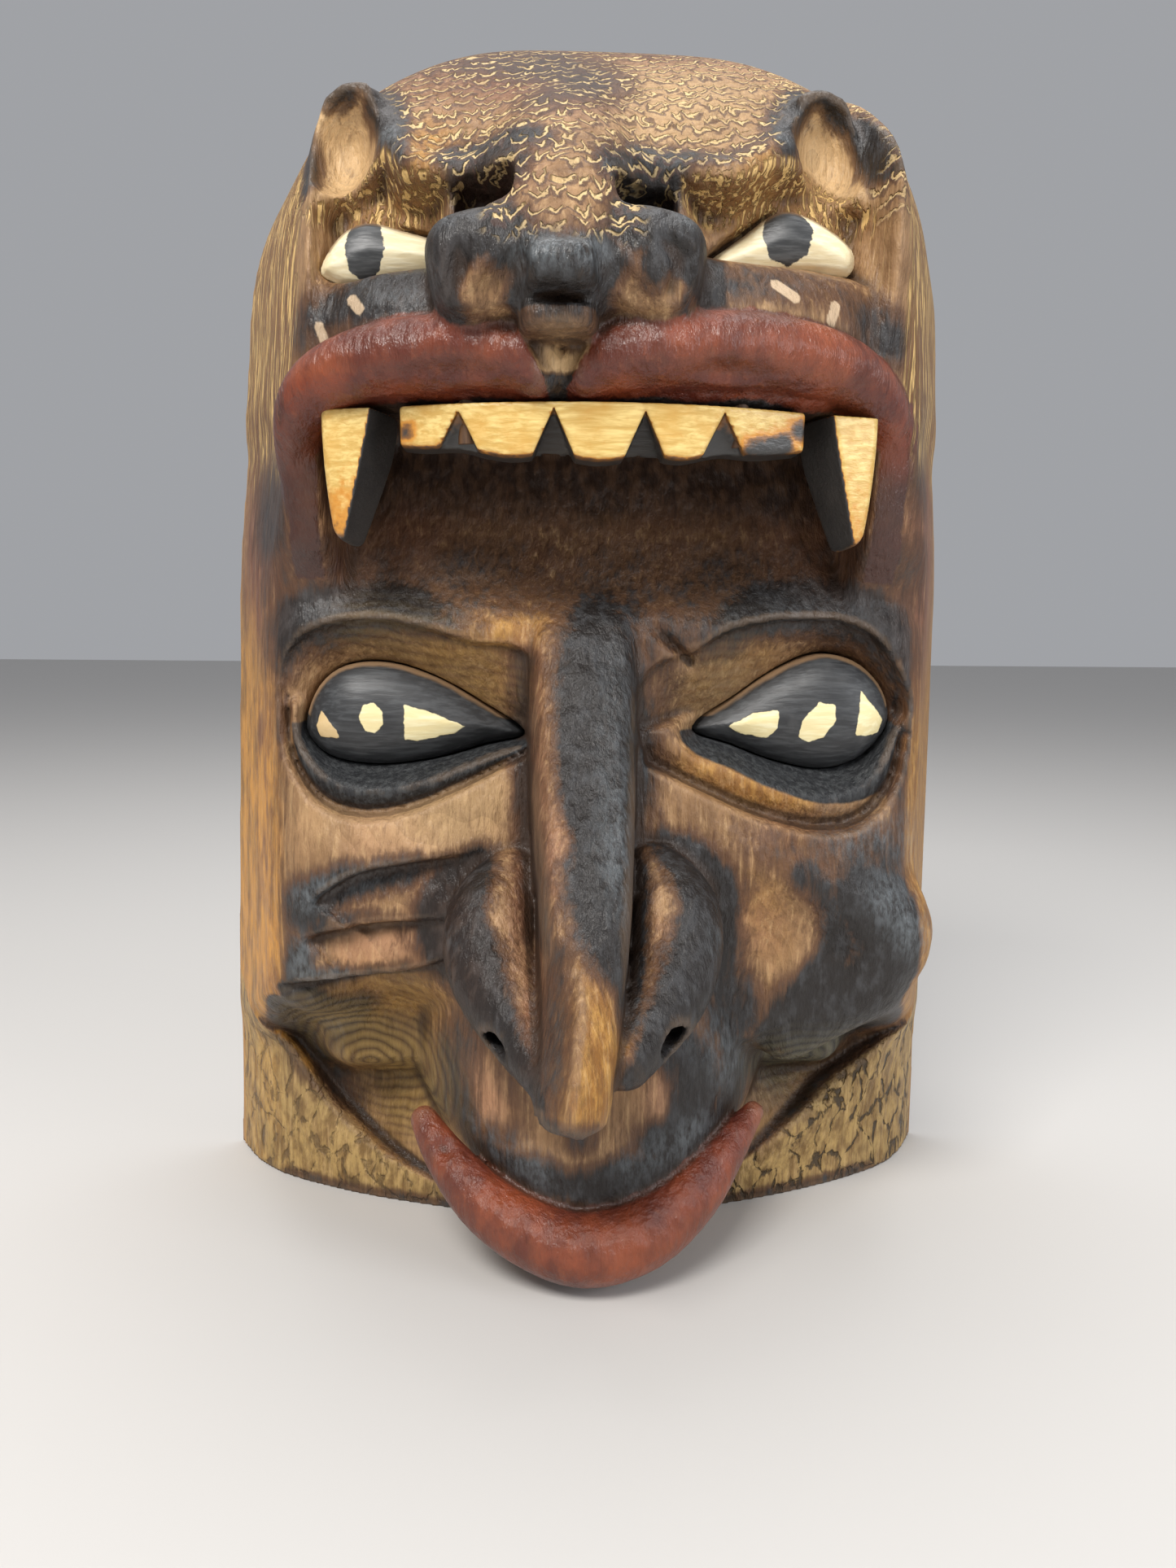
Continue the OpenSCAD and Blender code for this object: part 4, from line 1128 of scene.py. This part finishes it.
def growth_rings(k):
    """Late wood, in rings round a pith line behind the block."""
    east = k.add(k.px, 9.0)
    north = k.add(k.py, -(BACK_Y / MM + 22))
    radius = k.math("SQRT", k.add(k.mul(east, east), k.mul(north, north)))
    wander = k.mul(k.noise(26, (1, 1, 0.5), 2), 9.0)
    turns = k.math("DIVIDE", k.add(k.add(radius, wander), k.mul(k.pz, 0.05)), RING_MM)
    return k.math("POWER", k.math("FRACT", turns), 2.0)


def scorched(k, bare):
    """Brown at the scorch's edge, then charcoal, which also serves as painted shade in the mouth and along
    the foot's edge, with a painted blue-grey sheen that stands in for reflections.
    """
    uneven = k.add(k.sway(k.mottle, 0.55), k.sway(k.grain, 0.55))
    k.heat = k.add(k.attribute("burn"), k.add(uneven, k.sway(k.blotch, 0.5)))
    toasted = k.mix(k.mul(k.step(0.10, 0.46, k.heat), 0.85), bare, (0.085, 0.038, 0.020))
    char = k.mix(k.step(0.44, 0.70, k.mottle), (0.010, 0.0098, 0.010), (0.040, 0.042, 0.045))
    warm_char = k.mix(k.step(0.4, 0.65, k.mottle), (0.022, 0.011, 0.007), (0.075, 0.038, 0.020))
    char = k.mix(k.math("MAXIMUM", k.mul(k.rosy, 0.7), k.attribute("dark")), char, warm_char)
    colour = k.mix(k.mul(k.step(0.40, 0.80, k.heat), 0.95), toasted, char)
    # painted sheen: a blue-grey painted highlight over the char, broken up by speckle
    speckle = k.add(k.mul(k.mottle, 0.35), k.mul(k.noise(0.8, (1, 1, 0.4), 3, 0.7), 0.65))
    k.bloom = k.mul(k.attribute("bloom"), k.step(0.36, 0.64, speckle))
    return k.mix(k.mul(k.bloom, 0.62), colour, (0.150, 0.172, 0.185))


def ringed_bowls(k, colour):
    """Growth rings laid bare round the two bowls under the cheeks."""
    wander = k.mul(k.noise(12, (1, 1, 1), 2), 2.2)
    turn = k.math("FRACT", k.add(k.math("DIVIDE", k.attribute("oval"), BOWL_RING_MM), wander))
    line = k.math("POWER", k.math("ABSOLUTE", k.sub(k.mul(turn, 2.0), 1.0)), 1.6)
    left = k.mix(line, k.mix(k.mottle, (0.20, 0.125, 0.035), (0.42, 0.28, 0.095)), (0.075, 0.042, 0.015))
    right = k.mix(line, (0.115, 0.100, 0.055), (0.020, 0.017, 0.011))
    return k.mix(k.mul(k.attribute("rings"), 0.85), colour, k.mix(k.step(-5.0, 5.0, k.px), left, right))


def furred(k, colour):
    """Rows of V chips on the head, and long strokes on its sides."""
    chip_x = k.add(k.math("DIVIDE", k.px, CHIP_WIDE_MM), k.mul(k.noise(6, (1, 1, 1), 2), 2.0))
    chip_s = k.add(k.math("DIVIDE", k.attribute("arc"), CHIP_TALL_MM), k.mul(k.noise(7, (1, 1, 1), 2), 2.0))
    place = k.node("ShaderNodeCombineXYZ", {0: chip_x, 1: chip_s})
    centre = k.node("ShaderNodeTexVoronoi", {"Vector": place, "Scale": 1.0, "Randomness": 0.62}, out=2)
    local = k.node("ShaderNodeVectorMath", {0: place, 1: centre}, operation="SUBTRACT")
    across, along = (k.node("ShaderNodeSeparateXYZ", {0: local}, out=i) for i in range(2))
    ragged = k.sway(k.noise(1.0, (1, 1, 1), 3, 0.6), 0.55)
    vee = k.add(k.sub(along, k.mul(k.math("ABSOLUTE", k.add(across, 0.08)), 0.95)), k.add(ragged, 0.22))
    short = k.step(0.50, 0.36, k.math("ABSOLUTE", across))
    patchy = k.mul(k.fur, k.add(0.45, k.mul(k.step(0.35, 0.55, k.blotch), 0.55)))
    k.chips = k.mul(k.mul(k.step(-0.06, 0.03, vee), k.step(0.30, 0.16, vee)), k.mul(short, patchy))
    shade = k.mul(k.mul(k.step(-0.34, -0.18, vee), k.step(0.0, -0.08, vee)), k.fur)
    strands = k.noise(1.2, (1, 1, 0.07), 3, 0.6, 0.9)
    fading = k.step(0.15, 0.6, k.add(k.streak, k.sway(k.noise(4, (1, 1, 0.3), 3), 0.8)))
    k.cut = k.mul(k.mul(k.step(0.52, 0.42, strands), fading), k.step(0.0, 0.1, k.streak))
    for factor, tone in (
            (k.mul(shade, 0.72), (0.070, 0.034, 0.024)),
            (k.mul(k.chips, 0.88), k.mix(k.mottle, (0.56, 0.36, 0.14), (0.82, 0.64, 0.34))),
            (k.mul(k.streak, 0.75), (0.24, 0.115, 0.038)),
            (k.mul(k.cut, 0.9), (0.76, 0.50, 0.19)),
            (k.mul(k.step(0.56, 0.66, strands), k.mul(k.streak, 0.7)), (0.09, 0.04, 0.02)),
            (k.mul(k.step(0.3, 0.7, k.attribute("whisk")), 0.8), (0.62, 0.46, 0.30))):
        colour = k.mix(factor, colour, tone)
    return colour


def crackled(k, colour):
    """Crackle on the bark side of the foot."""
    bend = k.node("ShaderNodeTexNoise", {"Vector": k.at(), "Scale": 1 / 7}, out=1)
    bend = k.node("ShaderNodeVectorMath", {0: bend, "Scale": 7.0}, operation="SCALE")
    warped = k.node("ShaderNodeVectorMath", {0: k.at((1, 1, 0.6)), 1: bend}, operation="ADD")
    cell = k.node("ShaderNodeTexVoronoi", {"Vector": warped, "Scale": 1 / 5.5, "Randomness": 1.0},
                  feature="DISTANCE_TO_EDGE")
    near = k.step(0.09, 0.0, k.add(cell, k.mul(k.sub(k.mottle, 0.45), 0.5)))
    k.cracks = k.mul(near, k.attribute("crack"))
    return k.mix(k.mul(k.cracks, 0.85), colour, (0.035, 0.025, 0.015))


def painted(k, colour):
    """Red on the lips, darker at the corners of the mouth, and black on the eyelids."""
    wobble = k.sway(k.mottle, 1.6)
    k.red_on = k.step(-0.15, 0.45, k.add(k.attribute("red"), wobble))
    red = k.mix(k.step(0.35, 0.7, k.blotch), (0.100, 0.016, 0.007), (0.245, 0.048, 0.014))
    red = k.mix(k.mul(k.step(0.55, 0.7, k.mottle), 0.4), red, (0.27, 0.068, 0.024))
    corners = k.mul(k.mul(k.step(154.0, 142.0, k.pz), k.step(100.0, 110.0, k.pz)), 0.9)
    red = k.mix(corners, red, (0.040, 0.014, 0.009))
    colour = k.mix(k.mul(k.red_on, 0.94), colour, red)
    black_on = k.step(-0.1, 0.5, k.add(k.attribute("black"), k.mul(wobble, 0.4)))
    black = k.mix(k.step(0.4, 0.65, k.grain), (0.020, 0.021, 0.023), (0.050, 0.053, 0.055))
    return k.mix(black_on, colour, black)


def raw_back_and_shade(k, colour):
    """The raw back, painted shade darkening the crevices, and a lighter tone on the ridges."""
    back = k.mix(k.step(0.35, 0.65, k.grain), (0.30, 0.16, 0.07), (0.50, 0.31, 0.15))
    colour = k.mix(k.raw, colour, back)
    crevice = k.attribute("crevice")
    # painted shade: darker deep in the crevices, less so on pale wood
    crevice_shade = k.mul(k.step(0.05, 0.42, crevice), k.sub(0.75, k.mul(k.attribute("pale"), 0.6)), clamp=True)
    colour = k.mix(crevice_shade, colour, (0.034, 0.018, 0.010))
    # lighter tone on the ridges
    ridge_lighter = k.mul(k.step(-0.26, -0.55, k.add(crevice, k.sway(k.mottle, 0.5))), 0.14)
    return k.mix(ridge_lighter, colour, (0.46, 0.30, 0.18))


def wood_gloss(k):
    rough = k.add(0.34, k.mul(k.mottle, 0.34))
    rough = k.add(rough, k.mul(k.math("MAXIMUM", k.raw, k.mul(k.fur, 0.6)), 0.3), clamp=True)
    coat = k.mul(k.sub(1.0, k.raw), k.add(0.06, k.mul(k.step(0.3, 0.8, k.heat), 0.16)), clamp=True)
    coat = k.math("MAXIMUM", coat, k.mul(k.red_on, 0.55))
    return rough, k.math("MAXIMUM", coat, k.mul(k.bloom, 0.6))


def wood_relief(k):
    height = k.add(k.mul(k.grain, 0.45), k.mul(k.mottle, 0.8))
    height = k.add(height, k.mul(k.noise(0.7, (1, 1, 0.35), 3, 0.7), 0.40))
    for cut, deep in ((k.chips, 1.3), (k.cut, 0.9), (k.cracks, 1.0)):
        height = k.sub(height, k.mul(cut, deep))
    height = k.add(height, k.mul(k.noise(5.0, (1, 1, 0.7), 2), 1.9))
    return k.sub(height, k.mul(k.mul(k.late, k.attribute("rings")), 0.4))


def wood_look():
    k = Look("carved_wood")
    k.px, k.py, k.pz = (k.node("ShaderNodeSeparateXYZ", {0: k.at()}, out=i) for i in range(3))
    k.rosy, k.fur, k.streak, k.raw = (k.attribute(name) for name in ("rosy", "fur", "streak", "raw"))
    k.blotch = k.noise(9, (1, 1, 0.6), 4, 0.6)
    k.mottle = k.noise(2.2, (1, 1, 0.45), 4, 0.6)
    k.grain = k.noise(1.0, (1, 1, 0.07), 4, 0.65, 0.4)
    k.fibre = k.noise(0.45, (1, 1, 0.05), 2, 0.6)
    k.late = growth_rings(k)
    colour = bare_wood(k)
    for layer in (scorched, ringed_bowls, furred, crackled, painted, raw_back_and_shade):
        colour = layer(k, colour)
    rough, coat = wood_gloss(k)
    return k.surface(colour, rough, coat, 0.20, wood_relief(k), 0.65, 0.32)


def eye_black_look():
    k = Look("black_eye_paint")
    brush = k.noise(0.9, (0.12, 1, 1), 3, 0.6, 0.3)
    patch = k.noise(5, (1, 1, 1), 3)
    colour = k.mix(k.step(0.4, 0.68, brush), (0.022, 0.023, 0.025), (0.052, 0.055, 0.058))
    colour = k.mix(k.mul(k.step(0.55, 0.8, patch), 0.5), colour, (0.075, 0.075, 0.075))
    rim = k.step(0.9, 0.2, k.add(k.attribute("rim"), k.sway(patch, 0.8)))
    colour = k.mix(k.mul(rim, 0.8), colour, (0.34, 0.21, 0.11))
    edge = k.add(k.attribute("spot"), k.sway(k.noise(1.4, (1, 1, 1), 2), 0.7))
    cream = k.mix(k.step(0.4, 0.7, brush), (0.80, 0.68, 0.36), (0.90, 0.82, 0.52))
    cream = k.mix(k.mul(k.attribute("tan"), 0.8), cream, (0.62, 0.42, 0.20))
    on = k.step(-0.08, 0.12, edge)
    colour = k.mix(on, colour, cream)
    height = k.add(k.mul(brush, 0.5), k.mul(on, 0.35))
    return k.surface(colour, k.add(0.42, k.mul(patch, 0.2)), 0.12, 0.3, height, 0.16)


def eye_white_look():
    k = Look("white_eye_paint")
    brush = k.noise(0.8, (0.15, 1, 1), 3, 0.6)
    colour = k.mix(k.step(0.35, 0.7, brush), (0.78, 0.66, 0.40), (0.90, 0.82, 0.58))
    edge = k.add(k.attribute("spot"), k.sway(k.noise(0.8, (1, 1, 1), 3), 0.9))
    on = k.step(-0.1, 0.15, edge)
    colour = k.mix(on, colour, k.mix(k.step(0.4, 0.65, brush), (0.030, 0.032, 0.034), (0.075, 0.078, 0.08)))
    rim = k.step(0.7, 0.0, k.attribute("rim"))
    colour = k.mix(k.mul(rim, 0.75), colour, (0.20, 0.11, 0.05))
    return k.surface(colour, 0.45, 0.15, 0.3, brush, 0.10)


def tooth_look():
    k = Look("tooth_paint")
    brush = k.noise(0.8, (0.13, 1, 1), 3, 0.6, 0.3)
    patch = k.noise(6, (1, 1, 1), 3)
    colour = k.mix(k.step(0.35, 0.7, brush), (0.60, 0.38, 0.10), (0.84, 0.63, 0.24))
    colour = k.mix(k.mul(k.step(0.42, 0.70, patch), 0.6), colour, (0.62, 0.34, 0.065))
    # dark: bare or darker flanks, stains, and on the strip painted shade; shown orange, then brown, then
    # black
    dark = k.add(k.attribute("dark"), k.sway(k.noise(1.5, (1, 1, 1), 3), 0.7))
    colour = k.mix(k.step(0.05, 0.40, dark), colour, (0.60, 0.26, 0.035))
    colour = k.mix(k.step(0.38, 0.60, dark), colour, (0.22, 0.095, 0.025))
    black = k.mix(patch, (0.018, 0.019, 0.02), (0.05, 0.045, 0.04))
    colour = k.mix(k.step(0.55, 0.85, dark), colour, black)
    return k.surface(colour, k.add(0.34, k.mul(patch, 0.2)), 0.3, 0.22, brush, 0.14)


def peg_look():
    k = Look("peg_wood")
    grain = k.noise(0.7, (1, 1, 0.08), 3, 0.6)
    colour = k.mix(k.step(0.35, 0.7, grain), (0.055, 0.026, 0.012), (0.13, 0.065, 0.028))
    return k.surface(colour, 0.6, 0, 0.2, grain, 0.1)


def steel_look():
    k = Look("hanger_steel")
    wear = k.noise(2.5, (1, 1, 1), 4, 0.65)
    k.put(k.shader.inputs["Metallic"], 1.0)
    colour = k.mix(k.step(0.55, 0.75, wear), (0.42, 0.41, 0.40), (0.20, 0.12, 0.07))
    return k.surface(colour, k.add(0.30, k.mul(wear, 0.35)), 0, 0.2, wear, 0.05)


# Stains on the tooth strip, as strokes
STAINS = [
    [(24, 147.4, .9, 2.0), (29, 148.4, 1, 2.2)], [(32, 151, .8, 2)], [(-32, 150, .7, 1.6)],
    [(-32.5, 146.5, .7, 1.6)],
]

# Painted shapes on the eyes
LEFT_SPOTS = [
    [(-51.3, 100.4), (-50.3, 103.4), (-47.4, 99.8), (-47.0, 98.2), (-50.6, 98.4)],
    [(-42.2, 99.6), (-43.2, 102.0), (-42.4, 104.4), (-40.4, 105.0), (-38.8, 103.2), (-38.8, 100.8),
     (-40.4, 99.2)],
    [(-35.0, 104.6), (-31.4, 103.6), (-23.8, 100.6), (-25.8, 99.2), (-32.6, 97.8), (-35.0, 98.0)],
]
RIGHT_SPOTS = [
    [(24.8, 100.6), (29.4, 103.2), (34.2, 104.0), (34.0, 100.6), (32.2, 98.4), (27.4, 99.4)],
     [(38.0, 98.8), (38.6, 102.2), (41.6, 105.4), (44.6, 105.0), (44.8, 102.0), (42.6, 98.8), (40.0, 97.8)],
    [(48.8, 99.2), (49.6, 107.6), (54.4, 102.2), (53.8, 99.6), (51.2, 99.0)],
]
LEFT_PUPIL = [
    (-42.8, 181), (-42, 184.6), (-39.8, 186.6), (-37, 185), (-36, 181), (-37, 177.4), (-39.4, 175.4),
    (-42, 177.2),
]
RIGHT_PUPIL = [
    (26.8, 184), (27.4, 187), (29.8, 190), (33.4, 189), (35.6, 185.4), (34.6, 181.4), (31.6, 179.6),
    (28.2, 180.6),
]


def eye_paint(obj, p, outline, spots):
    x, _, z = p.T
    spot = np.maximum.reduce([inside(s, x, z) for s in spots])
    rim = inside(curve(outline, closed=True, per=4), x, z)
    upper = ramp(-1.0, 2.5, z - np.interp(x, *lower_edge(curve(outline, closed=True, per=4))) - 2.0)
    attach(obj, spot=spot, rim=rim + 3 * (1 - upper), tan=ramp(-46.5, -47.5, x))


def strip_paint(obj, p):
    x, d, z = p.T
    n = normals(obj)
    # darker where faces turn from the front: the bare flanks of the teeth
    dark = 0.75 * ramp(0.2, -0.45, -n[:, 1])
    # painted shade on the undersides of the teeth
    dark = np.maximum(dark, 0.6 * ramp(-0.35, -0.75, n[:, 2]))
    front = strip_front(x, z)
    # brown bare wood at the mouth of each notch, then painted shade, black, deeper in
    dark = np.maximum(dark, 0.62 * ramp(0.3, 0.7, front - d))
    dark = np.maximum(dark, 1.05 * ramp(1.0, 2.8, front - d))
    dark = np.maximum(dark, airbrush(STAINS, x, z))
    attach(obj, dark=dark)


def fang_paint(obj, p, side):
    x, d, z = p.T
    n = normals(obj)
    flank = ramp(0.30, 0.62, -side * n[:, 0]) + ramp(0.1, -0.3, -n[:, 1])
    tip = (0.25 if side > 0 else 0.42) * ramp(148, 135, z) + 0.5 * ramp(134.8, 132.4, z)
    attach(obj, dark=np.maximum(flank, tip))


def fit(piece, node, mat):
    piece.data.materials.append(mat)
    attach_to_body(piece, "root")
    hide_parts(node)


def keep(node, mat):
    """A CAD node that stays as it is gets a better material."""
    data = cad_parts[node].data
    if not data.materials:
        data.materials.append(mat)
    for i in range(len(data.materials)):
        data.materials[i] = mat


# ---------------------------------------------------------------- build

add_camera()
light_scene()
add_floor()

mask = carve_mask()
body, p = mask.mesh("carved_body")
mask_paint(mask, body, p)
fit(body, "mask_body", wood_look())
teeth = tooth_look()
strip, p = tooth_strip()
strip_paint(strip, p)
fit(strip, "tooth_strip", teeth)
for side, name in ((-1, "left_fang"), (1, "right_fang")):
    piece, p = fang(name + "_carved", side)
    fang_paint(piece, p, side)
    fit(piece, name, teeth)
black_eye, white_eye = eye_black_look(), eye_white_look()
for name, outline, spots in (("left_eye", LEFT_EYE, LEFT_SPOTS), ("right_eye", RIGHT_EYE, RIGHT_SPOTS)):
    piece, p = eye_piece(name + "_domed", outline, *FACE_EYE)
    eye_paint(piece, p, outline, spots)
    fit(piece, name, black_eye)
cat_eyes = ("cat_left_eye", CAT_LEFT_EYE, LEFT_PUPIL), ("cat_right_eye", CAT_RIGHT_EYE, RIGHT_PUPIL)
for name, outline, pupil in cat_eyes:
    outline = [(x, z - CAT_EYE_DROP) for x, z in outline]
    piece, p = eye_piece(name + "_domed", outline, *CAT_EYE)
    eye_paint(piece, p, outline, [pupil])
    fit(piece, name, white_eye)

for node, look in (("tooth_pegs", peg_look), ("hanger_plate", steel_look), ("hanger_nails", steel_look)):
    keep(node, look())
